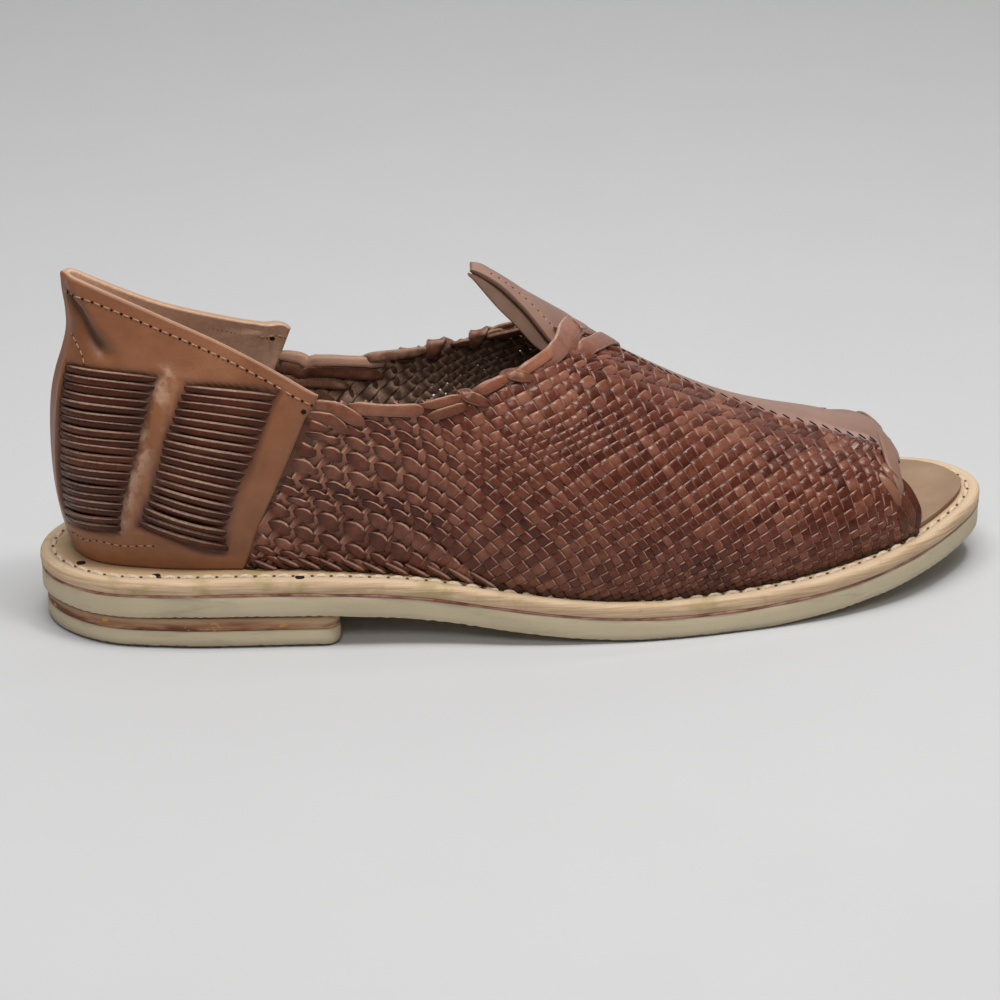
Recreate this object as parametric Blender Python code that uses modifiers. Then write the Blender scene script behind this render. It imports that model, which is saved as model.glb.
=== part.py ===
"""A hand-woven leather slip-on with an open toe (a huarache), for the right foot.

Tables and sizes are in millimetres; MM turns them into metres when a mesh is made.
X runs from the heel to the toe, Y from the lateral (outer) side to the medial (inner)
side, and Z up from the floor. The shoe stands on its heel block and its forefoot.
"""

import math

import bmesh
import bpy
import numpy as np

MM = 0.001

# Driving sizes.
SOLE_LENGTH = 298.2
HEEL_HEIGHT = 9.9
TOE_SPRING = 12.0
OUTSOLE_THICKNESS = 7.6
PLATFORM_THICKNESS = 4.6
INSOLE_THICKNESS = 1.4
HEEL_TOP_PIECE_THICKNESS = 5.7
HEEL_LENGTH = 91.5
HEEL_INSET = 1.4
HEEL_CORNER = 5.0
OUTSOLE_INSET = 0.3
CUT_EDGE = 0.8
WALL = 2.0
STRIP_THICKNESS = 1.6
STRIP_LIFT = 0.5
LINING_THICKNESS = 1.3
INSOLE_RIM = 6.0
INSOLE_CLEARANCE = WALL + 2.0
TOE_CLEARANCE = 8.0
TIP_REACH = 3.5
GAP = 0.3

# How finely the lofts are divided.
SOLE_STATIONS = 36
CORNER_POINTS = 5
SIDE_COLUMNS = 43
UPPER_ROWS = 15
TONGUE_ROWS = 10
CREST_ROWS = 22
STRIP_COLUMNS = 9
LINING_ROWS = 9
LINING_COLUMNS = 7
CURVE_SAMPLES = 120
MERGE_DISTANCE = 0.01
SHARP_ANGLE = math.radians(40)
EDGE_ANGLE = math.radians(50)
EDGE_SEGMENTS = 2


def columns(names, rows):
    """A table with a name for each column."""
    values = np.array(rows, float)
    return {name: values[:, place] for place, name in enumerate(names.split())}


# The sole's outline: how far it reaches to each side of the long axis.
OUTLINE = columns(
    "x lateral medial",
    [
        (0, 0, 0),
        (5, -15.2, 15.4),
        (18, -27, 27.8),
        (38, -33, 33),
        (75, -37.7, 32),
        (112, -41.2, 28.3),
        (150, -47.3, 30.5),
        (185, -49, 39),
        (216, -46.3, 44.6),
        (245, -41, 43.6),
        (268, -31.8, 38.4),
        (286, -18.4, 28.6),
        (SOLE_LENGTH, TIP_REACH, TIP_REACH),
    ],
)

# Height of the outsole's underside: on the heel block, through the arch, flat, then up.
UNDERSIDE = columns(
    "x height",
    [
        (0, HEEL_HEIGHT),
        (92, HEEL_HEIGHT),
        (110, 0.87 * HEEL_HEIGHT),
        (130, 0.6 * HEEL_HEIGHT),
        (150, 0.31 * HEEL_HEIGHT),
        (168, 0.1 * HEEL_HEIGHT),
        (186, 0),
        (212, 0),
        (232, 0.12 * TOE_SPRING),
        (255, 0.36 * TOE_SPRING),
        (275, 0.66 * TOE_SPRING),
        (SOLE_LENGTH, TOE_SPRING),
    ],
)

# The ribs of the upper, from the back seam (first row) to the toe opening (last row).
# A rib is one curve from the sole up to the collar, or up to the crest of the vamp.
# face is the way it looks in plan: 0 sideways, 90 straight back. lean is its slope
# outwards at the sole and arrive its slope inwards at the top, both from upright.
# low and high are how far it keeps each slope, as parts of its height.
RIB_COLUMNS = "foot_x foot_y top_x top_y top_z face lean arrive low high"
LATERAL_RIBS = columns(
    RIB_COLUMNS,
    [
        (11, 0, 11.6, 0, 111, 90, 20, 5, 0.33, 0.28),
        (12.6, -7, 15.5, -4.6, 110, 66, 20, 8, 0.33, 0.28),
        (17, -13.3, 25, -9, 106.5, 45, 19, 13, 0.33, 0.28),
        (26, -18.6, 40, -13.6, 100, 25, 17, 17, 0.33, 0.28),
        (42, -24, 60, -20, 91.2, 10, 14, 18, 0.33, 0.3),
        (61, -27.3, 85.4, -28.2, 77.6, 3, 11, 11, 0.33, 0.33),
        (64, -27.8, 89, -28.3, 76.4, 3, 11, 11, 0.33, 0.33),
        (80, -30, 97, -28.7, 75, 0, 10, 12, 0.33, 0.33),
        (100, -33.2, 112, -29, 74.2, 0, 10, 15, 0.33, 0.33),
        (120, -36, 127, -28.4, 76.2, 0, 11, 22, 0.33, 0.33),
        (136, -40.6, 140, -25, 80.2, 0, 13, 39, 0.33, 0.33),
        (146.5, -43, 149, -20.5, 82.3, 0, 14, 53, 0.336, 0.337),
        (153, -44.2, 156, -14.5, 84.8, 0, 14, 63, 0.342, 0.337),
        (158.8, -44.9, 161, -7, 84.9, 0, 14, 76.5, 0.357, 0.348),
        (164, -45.4, 164, 2, 84.2, 0, 14, 90, 0.37, 0.38),
        (178, -45.6, 178, 2, 75.6, 0, 14, 90, 0.37, 0.38),
        (196, -44.2, 196, 2.2, 65.4, 0, 14, 90, 0.38, 0.4),
        (214, -41, 214, 2.5, 56.7, 0, 14, 90, 0.4, 0.43),
        (232, -38.2, 232, 2.5, 51, 0, 13, 90, 0.41, 0.45),
        (250, -33.2, 250, 2, 47.8, 0, 12, 90, 0.42, 0.46),
        (262, -29.5, 261, 1, 45.8, 0, 10, 90, 0.42, 0.46),
        (270, -26, 268, 0, 38.6, 0, 8, 90, 0.42, 0.46),
    ],
)
MEDIAL_RIBS = columns(
    RIB_COLUMNS,
    [
        (11, 0, 11.6, 0, 111, 90, 20, 5, 0.33, 0.28),
        (12.6, 7.2, 15.5, 4.6, 109.6, 66, 20, 8, 0.33, 0.28),
        (17, 14, 25, 9, 103.4, 45, 19, 13, 0.33, 0.28),
        (26, 19.8, 40, 13.6, 95.2, 25, 17, 17, 0.33, 0.28),
        (42, 24.6, 60, 20, 86.9, 10, 14, 18, 0.33, 0.3),
        (61, 26, 81.5, 27.6, 78.2, 3, 11, 11, 0.33, 0.33),
        (64, 26, 84.5, 28.5, 70.8, 3, 11, 11, 0.33, 0.33),
        (80, 25.5, 96, 29.5, 68.6, 0, 12, 8, 0.33, 0.33),
        (100, 24.3, 111, 29.5, 68.8, 0, 13, 12, 0.33, 0.33),
        (120, 23.8, 126, 28.5, 71, 0, 14, 22, 0.33, 0.34),
        (136, 24, 139, 25.5, 74.6, 0, 14, 36, 0.33, 0.33),
        (146.5, 25.2, 149, 22, 77.4, 0, 14, 48, 0.34, 0.335),
        (153, 26.3, 156, 16.5, 81.4, 0, 14, 60, 0.35, 0.34),
        (158.8, 27.4, 161, 9.8, 84, 0, 14, 75, 0.36, 0.35),
        (164, 28.8, 164, 2, 84.2, 0, 14, 90, 0.37, 0.38),
        (178, 32, 178, 2, 75.6, 0, 14, 90, 0.37, 0.38),
        (196, 36.5, 196, 2.2, 65.4, 0, 14, 90, 0.38, 0.4),
        (214, 39.3, 214, 2.5, 56.7, 0, 14, 90, 0.4, 0.43),
        (232, 39.5, 232, 2.5, 51, 0, 13, 90, 0.41, 0.45),
        (250, 36.3, 250, 2, 47.8, 0, 12, 90, 0.42, 0.46),
        (261, 32.5, 261, 1, 45.8, 0, 10, 90, 0.42, 0.46),
        (268, 29, 268, 0, 38.6, 0, 8, 90, 0.42, 0.46),
    ],
)
COUNTER_RIB = 5
THROAT_RIB = 14
LAST_RIB = len(LATERAL_RIBS["face"]) - 1

# The counter is a step out of the wall, with a pinch under the heel's peak.
COUNTER_STEP = 0.8
PINCH_DEPTH = 3.2
PINCH_HEIGHT = 0.78
PINCH_SPREAD = 0.14
PINCH_RIBS = 1.6

# The wall bends as it passes the throat. It is eased this many ribs to each side.
EASE_RIBS = 2.0
EASE_ROUNDS = 12
EASE_SHARE = 0.5

# Where the laces lie on top they stand out of the wall. In the counter they run
# through two columns of slits, between these ribs and up to this part of its height,
# and none is raised this near the vamp strip.
LACE_RISE = 0.65
LACE_INSET = 0.5
LACE_COLUMNS = ((0.3, 2.6), (3.1, 4.7))
LACE_TOP = 0.74
LACE_MARGIN = 3.0

# The vamp strip's edges, and the tongue that is its free end. mid is the height of its
# underside along the middle, sag how far that falls to both edges and tilt how much
# further to the far one. They count only where the strip stands free of the upper.
STRIP = columns(
    "x near far",
    [
        (164, -1.5, 17),
        (178, -0.8, 17),
        (196, -2.8, 16.5),
        (214, -5.2, 15.5),
        (243, -8.4, 13.5),
        (256, -9.6, 12),
        (264, -10, 8.5),
        (268, -9.6, 4),
    ],
)
TONGUE = columns(
    "x near far mid sag tilt",
    [
        (134, 0.5, 5.5, 104.6, 0.3, 0),
        (136.5, -1.2, 7.2, 103.6, 0.5, 0.2),
        (140, -2.6, 9, 101.4, 0.9, 0.5),
        (146, -5.4, 12, 97.2, 1.8, 1),
        (152, -9.5, 15, 92.6, 3.2, 1.5),
        (155.5, -12, 16, 90, 4.6, 1.8),
        (158.5, -9, 16.8, 87.9, 3, 2),
        (164, -1.5, 17, 84.2, 1.7, 2.1),
    ],
)
LINING = columns(
    "x near far mid sag tilt",
    [
        (136.5, -2.5, 6.5, 101.6, 0.8, 0.2),
        (141, -6.4, 10.5, 98.8, 2.4, 0.4),
        (146, -9.2, 14, 95.2, 4.6, 0.6),
        (151, -12, 15, 91.2, 6.4, 0.8),
        (154.5, -11.5, 14, 88.4, 6, 0.8),
        (159, -5, 9, 84.8, 1.6, 0.4),
    ],
)

COLOURS = {
    "rubber": ((0.55, 0.51, 0.38), 0.55),
    "tan_leather": ((0.62, 0.44, 0.27), 0.6),
    "heel_leather": ((0.50, 0.27, 0.14), 0.6),
    "footbed_leather": ((0.44, 0.28, 0.15), 0.65),
    "woven_leather": ((0.22, 0.08, 0.045), 0.38),
    "vamp_leather": ((0.36, 0.17, 0.105), 0.45),
    "lining_leather": ((0.17, 0.10, 0.06), 0.7),
}


def smooth(at, xs, ys):
    """Reads a smooth curve through a table's points."""
    slopes = np.gradient(ys, xs)
    at = np.clip(at, xs[0], xs[-1])
    left = np.clip(np.searchsorted(xs, at, side="right") - 1, 0, len(xs) - 2)
    step = xs[left + 1] - xs[left]
    t = (at - xs[left]) / step
    return (
        (2 * t**3 - 3 * t**2 + 1) * ys[left]
        + (t**3 - 2 * t**2 + t) * step * slopes[left]
        + (3 * t**2 - 2 * t**3) * ys[left + 1]
        + (t**3 - t**2) * step * slopes[left + 1]
    )


def rounded_stations(start, end, count):
    """Stations that crowd at both ends, so that an outline's round ends stay round."""
    turn = np.linspace(0, math.pi, count)
    return start + (end - start) * (1 - np.cos(turn)) / 2


def outline_side(x, side):
    """The sole's reach to one side, read along the angle that keeps its ends round."""

    def angle(place):
        return np.arccos(np.clip(1 - 2 * place / SOLE_LENGTH, -1, 1))

    return smooth(angle(x), angle(OUTLINE["x"]), OUTLINE[side])


def underside(x):
    """Height of the outsole's underside above the floor."""
    bend = smooth(x, UNDERSIDE["x"], UNDERSIDE["height"])
    return np.clip(bend, 0, None)


def platform_top(x):
    """Height of the leather platform that the upper stands on."""
    return underside(x) + OUTSOLE_THICKNESS + PLATFORM_THICKNESS


def inset_outline(x, lateral, medial, inset):
    """Moves both sides of an outline inwards along their own normals."""
    moved = []
    for reach, sign in ((lateral, -1), (medial, 1)):
        along = np.stack([np.gradient(x), np.gradient(reach)], axis=1)
        along /= np.linalg.norm(along, axis=1, keepdims=True)
        outward = np.stack([-along[:, 1], along[:, 0]], axis=1) * sign
        moved.append(np.stack([x, reach], axis=1) - inset * outward)
    for end in (0, -1):
        if lateral[end] == medial[end]:
            moved[0][end] = moved[1][end] = (moved[0][end] + moved[1][end]) / 2
    return moved


def material(name):
    """A Principled material for one kind of leather or rubber."""
    colour, roughness = COLOURS[name]
    made = bpy.data.materials.get(name) or bpy.data.materials.new(name)
    made.use_nodes = True
    shader = made.node_tree.nodes["Principled BSDF"]
    shader.inputs["Base Color"].default_value = (*colour, 1)
    shader.inputs["Roughness"].default_value = roughness
    shader.inputs["Metallic"].default_value = 0
    made.diffuse_color = (*colour, 1)
    return made


def add_object(name, shape, material_name, collection):
    """Puts a bmesh in the scene as a named object, in metres."""
    bmesh.ops.remove_doubles(shape, verts=shape.verts, dist=MERGE_DISTANCE)
    bmesh.ops.scale(shape, vec=(MM, MM, MM), verts=shape.verts)
    mesh = bpy.data.meshes.new(name)
    shape.to_mesh(mesh)
    shape.free()
    mesh.materials.append(material(material_name))
    mesh.shade_smooth()
    mesh.set_sharp_from_angle(angle=SHARP_ANGLE)
    made = bpy.data.objects.new(name, mesh)
    collection.objects.link(made)
    return made


def soften(target):
    """Rounds the piece's cut edges."""
    bevel = target.modifiers.new("cut_edges", "BEVEL")
    bevel.width = CUT_EDGE * MM
    bevel.segments = EDGE_SEGMENTS
    bevel.limit_method = "ANGLE"
    bevel.angle_limit = EDGE_ANGLE


def slab(lateral, medial, low, high):
    """A flat slab between two sides of an outline, from the height low to high."""
    shape = bmesh.new()
    edges = [
        [shape.verts.new((x, y, low)) for x, y in side] for side in (lateral, medial)
    ]
    faces = []
    for here in range(len(lateral) - 1):
        corners = [
            edges[0][here],
            edges[0][here + 1],
            edges[1][here + 1],
            edges[1][here],
        ]
        faces.append(shape.faces.new(corners))
    bmesh.ops.remove_doubles(shape, verts=shape.verts, dist=MERGE_DISTANCE)
    raised = bmesh.ops.extrude_face_region(shape, geom=list(shape.faces))["geom"]
    top = [part for part in raised if isinstance(part, bmesh.types.BMVert)]
    bmesh.ops.translate(shape, vec=(0, 0, high - low), verts=top)
    bmesh.ops.recalc_face_normals(shape, faces=shape.faces)
    return shape


def bend(shape, rise):
    """Lifts each point of a flat slab by the height that rise gives at its place."""
    for point in shape.verts:
        point.co.z += float(rise(np.array(point.co.x)))
    return shape


def full_outline():
    """Stations along the sole, with its reach to both sides at each."""
    x = rounded_stations(0, SOLE_LENGTH, SOLE_STATIONS)
    return x, outline_side(x, "lateral"), outline_side(x, "medial")


def build_outsole(collection):
    """The rubber outsole under the whole shoe."""
    x, lateral, medial = full_outline()
    sides = inset_outline(x, lateral, medial, OUTSOLE_INSET)
    shape = bend(slab(*sides, 0, OUTSOLE_THICKNESS - GAP), underside)
    soften(add_object("outsole", shape, "rubber", collection))


def build_midsole(collection):
    """The leather platform that the upper is laced to."""
    x, lateral, medial = full_outline()
    sides = inset_outline(x, lateral, medial, 0)
    top = OUTSOLE_THICKNESS + PLATFORM_THICKNESS
    shape = bend(slab(*sides, OUTSOLE_THICKNESS, top), underside)
    soften(add_object("midsole", shape, "tan_leather", collection))


def heel_sides():
    """The heel block's outline, cut off square at the breast with round corners."""
    x = rounded_stations(0, 2 * HEEL_LENGTH, SOLE_STATIONS)
    x = np.append(x[x < HEEL_LENGTH - 2 * HEEL_CORNER], HEEL_LENGTH - HEEL_CORNER)
    reach = outline_side(x, "lateral"), outline_side(x, "medial")
    sides = inset_outline(x, *reach, HEEL_INSET)
    breast = []
    for side, sign in zip(sides, (-1, 1)):
        turn = np.linspace(0, math.pi / 2, CORNER_POINTS)[1:]
        corner = side[-1] - (0, sign * HEEL_CORNER)
        arc = corner + HEEL_CORNER * np.stack([np.sin(turn), sign * np.cos(turn)], axis=1)
        breast.append(np.vstack([side, arc]))
    return breast


def build_heel(collection):
    """The heel block: a leather lift on a rubber top piece."""
    sides = heel_sides()
    pieces = (
        ("heel_top_piece", "rubber", 0, HEEL_TOP_PIECE_THICKNESS),
        ("heel_lift", "heel_leather", HEEL_TOP_PIECE_THICKNESS + GAP, HEEL_HEIGHT - GAP),
    )
    for name, look, low, high in pieces:
        soften(add_object(name, slab(*sides, low, high), look, collection))


def rib_numbers():
    """Where the upper's columns fall among its ribs, evenly spaced along the sole."""
    ribs = LATERAL_RIBS
    steps = np.hypot(np.diff(ribs["foot_x"]), np.diff(ribs["foot_y"]))
    run = np.concatenate([[0], np.cumsum(steps)])
    spaced = np.linspace(0, run[-1], SIDE_COLUMNS)
    numbers = np.interp(spaced, run, np.arange(LAST_RIB + 1))
    for kept in (COUNTER_RIB, COUNTER_RIB + 1, THROAT_RIB):
        numbers[np.argmin(abs(numbers - kept))] = kept
    return numbers


def rib_values(ribs, number):
    """A rib between two rows of its table."""
    rows = np.arange(LAST_RIB + 1, dtype=float)
    values = {name: smooth(number, rows, column) for name, column in ribs.items()}
    if number >= THROAT_RIB:
        crest = rows[THROAT_RIB:]
        for name in ("top_x", "top_y", "top_z"):
            values[name] = smooth(number, crest, ribs[name][THROAT_RIB:])
        values["arrive"] = 90.0
    return values


def rib_curve(ribs, side, number, heights):
    """Points of a rib, from the sole up, at the given parts of its length."""
    rib = rib_values(ribs, number)
    foot = np.array([rib["foot_x"], rib["foot_y"], 0])
    foot[2] = platform_top(foot[0]) + GAP
    top = np.array([rib["top_x"], rib["top_y"], rib["top_z"]])
    face = math.radians(rib["face"])
    outward = np.array([-math.sin(face), side * math.cos(face), 0])
    upward = np.array([0, 0, 1.0])
    lean, arrive = math.radians(rib["lean"]), math.radians(rib["arrive"])
    size = np.linalg.norm(top - foot)
    drift = top - foot
    drift[2] = 0
    drift -= drift.dot(outward) * outward
    leaving = upward * math.cos(lean) + outward * math.sin(lean)
    arriving = upward * math.cos(arrive) - outward * math.sin(arrive)
    first = foot + rib["low"] * size * leaving + drift / 3
    second = top - rib["high"] * size * arriving - drift / 3
    t = np.asarray(heights)[:, None]
    curve = (
        (1 - t) ** 3 * foot
        + 3 * (1 - t) ** 2 * t * first
        + 3 * (1 - t) * t**2 * second
        + t**3 * top
    )
    near_back = math.exp(-((number / PINCH_RIBS) ** 2))
    near_pinch = np.exp(-(((t - PINCH_HEIGHT) / PINCH_SPREAD) ** 2))
    return curve - PINCH_DEPTH * near_back * near_pinch * outward


def ease(grid, numbers):
    """Spreads the wall's bend at the throat, as leather does, and leaves its edges."""
    near_throat = np.exp(-(((numbers - THROAT_RIB) / EASE_RIBS) ** 2))
    off_edges = np.sin(np.linspace(0, math.pi, grid.shape[1]))
    share = EASE_SHARE * (near_throat[:, None] * off_edges)[:, :, None]
    for _ in range(EASE_ROUNDS):
        between = (np.roll(grid, 1, axis=0) + np.roll(grid, -1, axis=0)) / 2
        grid = grid + share * (between - grid)
    return grid


def upper_side(ribs, side, numbers, heights):
    """One side of the upper's outer face as a grid of points, with the counter's step."""
    grid = np.array([rib_curve(ribs, side, number, heights) for number in numbers])
    grid = ease(grid, numbers)
    outward = np.cross(np.gradient(grid, axis=0), np.gradient(grid, axis=1)) * -side
    outward /= np.linalg.norm(outward, axis=2, keepdims=True)
    outward[0] = (-1, 0, 0)
    step = np.where(numbers <= COUNTER_RIB, COUNTER_STEP, 0)
    return grid + outward * step[:, None, None]


def lies_on_top(number, height, column, row):
    """Whether a lace lies on top here: across the counter, or over two cells of four."""
    if number < COUNTER_RIB:
        in_column = any(low < number < high for low, high in LACE_COLUMNS)
        return in_column and row % 2 == 1 and height < LACE_TOP
    inside = 0 < row < UPPER_ROWS - 2 and column < SIDE_COLUMNS - 2
    return inside and number > COUNTER_RIB + 1 and (column + 2 * row) % 4 < 2


def under_strip(place):
    """Whether a point of the upper is covered by the vamp strip."""
    if place.x < STRIP["x"][0] - LACE_MARGIN:
        return False
    near = smooth(place.x, STRIP["x"], STRIP["near"]) - LACE_MARGIN
    far = smooth(place.x, STRIP["x"], STRIP["far"]) + LACE_MARGIN
    return near < place.y < far


def raise_laces(shape, runs):
    """Lifts each run of the wall's faces into a lace that lies on top."""
    for run in runs:
        bmesh.ops.inset_region(
            shape,
            faces=run,
            thickness=LACE_INSET * MM,
            depth=LACE_RISE * MM,
            use_boundary=True,
            use_even_offset=True,
        )


def wall_faces(shape, points, numbers, heights, side):
    """Fills one side's grid with faces, and returns the runs of them that laces cross."""
    runs = []
    for row in range(UPPER_ROWS - 1):
        runs.append([])
        for here in range(len(numbers) - 1):
            corners = [
                points[here][row],
                points[here + 1][row],
                points[here + 1][row + 1],
                points[here][row + 1],
            ]
            face = shape.faces.new(corners if side < 0 else corners[::-1])
            number = (numbers[here] + numbers[here + 1]) / 2
            on_top = lies_on_top(number, heights[row], here, row)
            if on_top and not under_strip(face.calc_center_median()):
                runs[-1].append(len(shape.faces) - 1)
            else:
                runs.append([])
    return [run for run in runs if run]


def build_upper(collection):
    """The woven upper and its heel counter: one hollow wall, open at collar and toe."""
    numbers = rib_numbers()
    heights = np.linspace(0, 1, UPPER_ROWS)
    shape = bmesh.new()
    runs = []
    for ribs, side in ((LATERAL_RIBS, -1), (MEDIAL_RIBS, 1)):
        grid = upper_side(ribs, side, numbers, heights)
        points = [[shape.verts.new(point) for point in rib] for rib in grid]
        runs += wall_faces(shape, points, numbers, heights, side)
    upper = add_object("upper", shape, "woven_leather", collection)
    wall = upper.modifiers.new("wall", "SOLIDIFY")
    wall.thickness = WALL * MM
    wall.offset = -1

    # The wall's outer faces come first in the thickened mesh, in the order made above.
    graph = bpy.context.evaluated_depsgraph_get()
    thick = bmesh.new()
    thick.from_object(upper, graph)
    thick.faces.ensure_lookup_table()
    raise_laces(thick, [[thick.faces[place] for place in run] for run in runs])
    upper.modifiers.clear()
    thick.to_mesh(upper.data)
    thick.free()


def crest_point(number, y):
    """The point of the upper's outer face on a rib of the vamp, at a reach of y."""
    middle = rib_values(LATERAL_RIBS, number)["top_y"]
    ribs, side = (LATERAL_RIBS, -1) if y < middle else (MEDIAL_RIBS, 1)
    curve = rib_curve(ribs, side, number, np.linspace(0.5, 1, CURVE_SAMPLES))
    reach = side * curve[::-1, 1]
    return [np.interp(side * y, reach, curve[::-1, axis]) for axis in range(3)]


def flap_points(table, x, part):
    """A point of a free flap: part runs from -1 at its near edge to 1 at its far edge."""
    near = smooth(x, table["x"], table["near"])
    far = smooth(x, table["x"], table["far"])
    mid = smooth(x, table["x"], table["mid"])
    sag = smooth(x, table["x"], table["sag"])
    tilt = smooth(x, table["x"], table["tilt"])
    return x, near + (far - near) * (part + 1) / 2, mid - sag * part**2 - tilt * part


def sheet(rows):
    """An open surface through rows of points, one row for each station."""
    shape = bmesh.new()
    points = [[shape.verts.new(point) for point in row] for row in rows]
    for here in range(len(points) - 1):
        for place in range(len(points[0]) - 1):
            corners = [
                points[here][place],
                points[here + 1][place],
                points[here + 1][place + 1],
                points[here][place + 1],
            ]
            shape.faces.new(corners)
    return shape


def thicken(target, thickness):
    """Gives a sheet its thickness, upwards from its underside."""
    wall = target.modifiers.new("wall", "SOLIDIFY")
    wall.thickness = thickness * MM
    wall.offset = 1


def build_vamp_strip(collection):
    """The smooth strip along the crest, whose free rear end is the tongue."""
    parts = np.linspace(-1, 1, STRIP_COLUMNS)
    free = []
    for x in np.linspace(TONGUE["x"][0], TONGUE["x"][-1], TONGUE_ROWS)[:-1]:
        free.append([flap_points(TONGUE, x, part) for part in parts])
    laid = []
    for number in np.linspace(THROAT_RIB, LAST_RIB, CREST_ROWS):
        x = rib_values(LATERAL_RIBS, number)["top_x"]
        near = smooth(x, STRIP["x"], STRIP["near"])
        far = smooth(x, STRIP["x"], STRIP["far"])
        across = near + (far - near) * (parts + 1) / 2
        laid.append([crest_point(number, y) for y in across])
    laid = np.array(laid)
    upward = np.cross(np.gradient(laid, axis=0), np.gradient(laid, axis=1))
    upward /= np.linalg.norm(upward, axis=2, keepdims=True)
    laid += STRIP_LIFT * upward
    rows = np.concatenate([free, laid])
    strip = add_object("vamp_strip", sheet(rows), "vamp_leather", collection)
    thicken(strip, STRIP_THICKNESS)


def build_tongue_lining(collection):
    """The second layer that lines the tongue and shows below its edges."""
    parts = np.linspace(-1, 1, LINING_COLUMNS)
    rows = []
    for x in np.linspace(LINING["x"][0], LINING["x"][-1], LINING_ROWS):
        rows.append([flap_points(LINING, x, part) for part in parts])
    lining = add_object("tongue_lining", sheet(rows), "lining_leather", collection)
    thicken(lining, LINING_THICKNESS)


def foot_line(ribs):
    """The upper's foot along one side, seen from above."""
    rows = np.arange(LAST_RIB + 1, dtype=float)
    at = np.linspace(0, LAST_RIB, CURVE_SAMPLES)
    return np.stack([smooth(at, rows, ribs[name]) for name in ("foot_x", "foot_y")], axis=1)


def build_insole(collection):
    """The footbed inside the upper, which widens to the platform's rim at the toe."""
    rims = inset_outline(*full_outline(), INSOLE_RIM)
    start = LATERAL_RIBS["foot_x"][0] + INSOLE_CLEARANCE
    end = SOLE_LENGTH - INSOLE_RIM
    stations = rounded_stations(start, end, SOLE_STATIONS)
    sides = []
    for ribs, rim, sign in ((LATERAL_RIBS, rims[0], -1), (MEDIAL_RIBS, rims[1], 1)):
        line = foot_line(ribs)
        along = np.gradient(line, axis=0)
        along /= np.linalg.norm(along, axis=1, keepdims=True)
        outward = np.stack([-along[:, 1], along[:, 0]], axis=1) * sign
        wall = line - INSOLE_CLEARANCE * outward
        wall[0] = (start, 0)
        wall = np.vstack([wall, wall[-1] + (TOE_CLEARANCE, 0)])
        within = np.interp(stations, wall[:, 0], sign * wall[:, 1], right=SOLE_LENGTH)
        to_rim = np.interp(stations, rim[:, 0], sign * rim[:, 1])
        sides.append(np.stack([stations, sign * np.minimum(within, to_rim)], axis=1))
    sides[0][-1] = sides[1][-1] = (end, TIP_REACH)
    low = OUTSOLE_THICKNESS + PLATFORM_THICKNESS + GAP
    shape = bend(slab(*sides, low, low + INSOLE_THICKNESS), underside)
    add_object("insole", shape, "footbed_leather", collection)


def centre_on_floor(collection):
    """Puts the origin on the floor, under the middle of the shoe's length and width."""
    graph = bpy.context.evaluated_depsgraph_get()
    corners = []
    for piece in collection.objects:
        mesh = piece.evaluated_get(graph).to_mesh()
        corners += [point.co.copy() for point in mesh.vertices]
        piece.evaluated_get(graph).to_mesh_clear()
    low = [min(corner[axis] for corner in corners) for axis in range(3)]
    high = [max(corner[axis] for corner in corners) for axis in range(3)]
    shift = (-(low[0] + high[0]) / 2, -(low[1] + high[1]) / 2, -low[2])
    for piece in collection.objects:
        for point in piece.data.vertices:
            point.co.x += shift[0]
            point.co.y += shift[1]
            point.co.z += shift[2]


def clear_scene():
    """Removes the startup scene's objects."""
    for old in list(bpy.data.objects):
        bpy.data.objects.remove(old, do_unlink=True)


def main():
    clear_scene()
    collection = bpy.data.collections.new("woven_leather_shoe")
    bpy.context.scene.collection.children.link(collection)
    build_outsole(collection)
    build_midsole(collection)
    build_heel(collection)
    build_insole(collection)
    build_upper(collection)
    build_vamp_strip(collection)
    build_tongue_lining(collection)
    centre_on_floor(collection)


main()
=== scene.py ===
"""The looks of a hand-woven leather slip-on shoe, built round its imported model.

Sizes are in millimetres in the shoe's own frame, where X is 0 at the back of the heel, Y is
negative on the outer side and Z is 0 on the floor. place() turns them into the model's metres.
"""

import math

import bmesh
import bpy
import numpy as np
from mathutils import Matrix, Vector


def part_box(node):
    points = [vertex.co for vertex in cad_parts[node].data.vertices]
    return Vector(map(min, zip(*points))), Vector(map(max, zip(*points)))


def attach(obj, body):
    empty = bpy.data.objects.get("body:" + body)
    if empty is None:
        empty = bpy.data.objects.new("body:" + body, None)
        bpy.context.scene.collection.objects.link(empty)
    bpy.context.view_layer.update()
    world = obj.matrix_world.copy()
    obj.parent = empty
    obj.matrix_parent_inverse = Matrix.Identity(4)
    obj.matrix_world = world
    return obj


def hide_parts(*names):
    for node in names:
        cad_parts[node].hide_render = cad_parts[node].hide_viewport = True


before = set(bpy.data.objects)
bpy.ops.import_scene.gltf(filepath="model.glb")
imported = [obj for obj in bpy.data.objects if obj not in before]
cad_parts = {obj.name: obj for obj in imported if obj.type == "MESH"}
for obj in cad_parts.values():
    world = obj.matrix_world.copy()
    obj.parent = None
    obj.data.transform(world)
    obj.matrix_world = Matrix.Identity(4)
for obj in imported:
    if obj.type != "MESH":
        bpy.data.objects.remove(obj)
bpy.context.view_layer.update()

MM = 0.001

for start_object in ("Cube", "Light", "Camera"):
    if start_object in bpy.data.objects:
        bpy.data.objects.remove(bpy.data.objects[start_object])


# ------------------------------------------------------------------ the rubber outsole
# One sheet of olive-cream rubber, cut to the shoe's outline and bent through the arch and
# up at the toe. Its cut side is a little uneven and dirty, and its lower edge is toothed.

SOLE_LENGTH = 298.2
HEEL_HEIGHT = 9.9
TOE_SPRING = 12.0
OUTSOLE_THICKNESS = 7.6


def columns(names, rows):
    """A table with a name for each column."""
    values = np.array(rows, float)
    return {name: values[:, place] for place, name in enumerate(names.split())}


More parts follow.
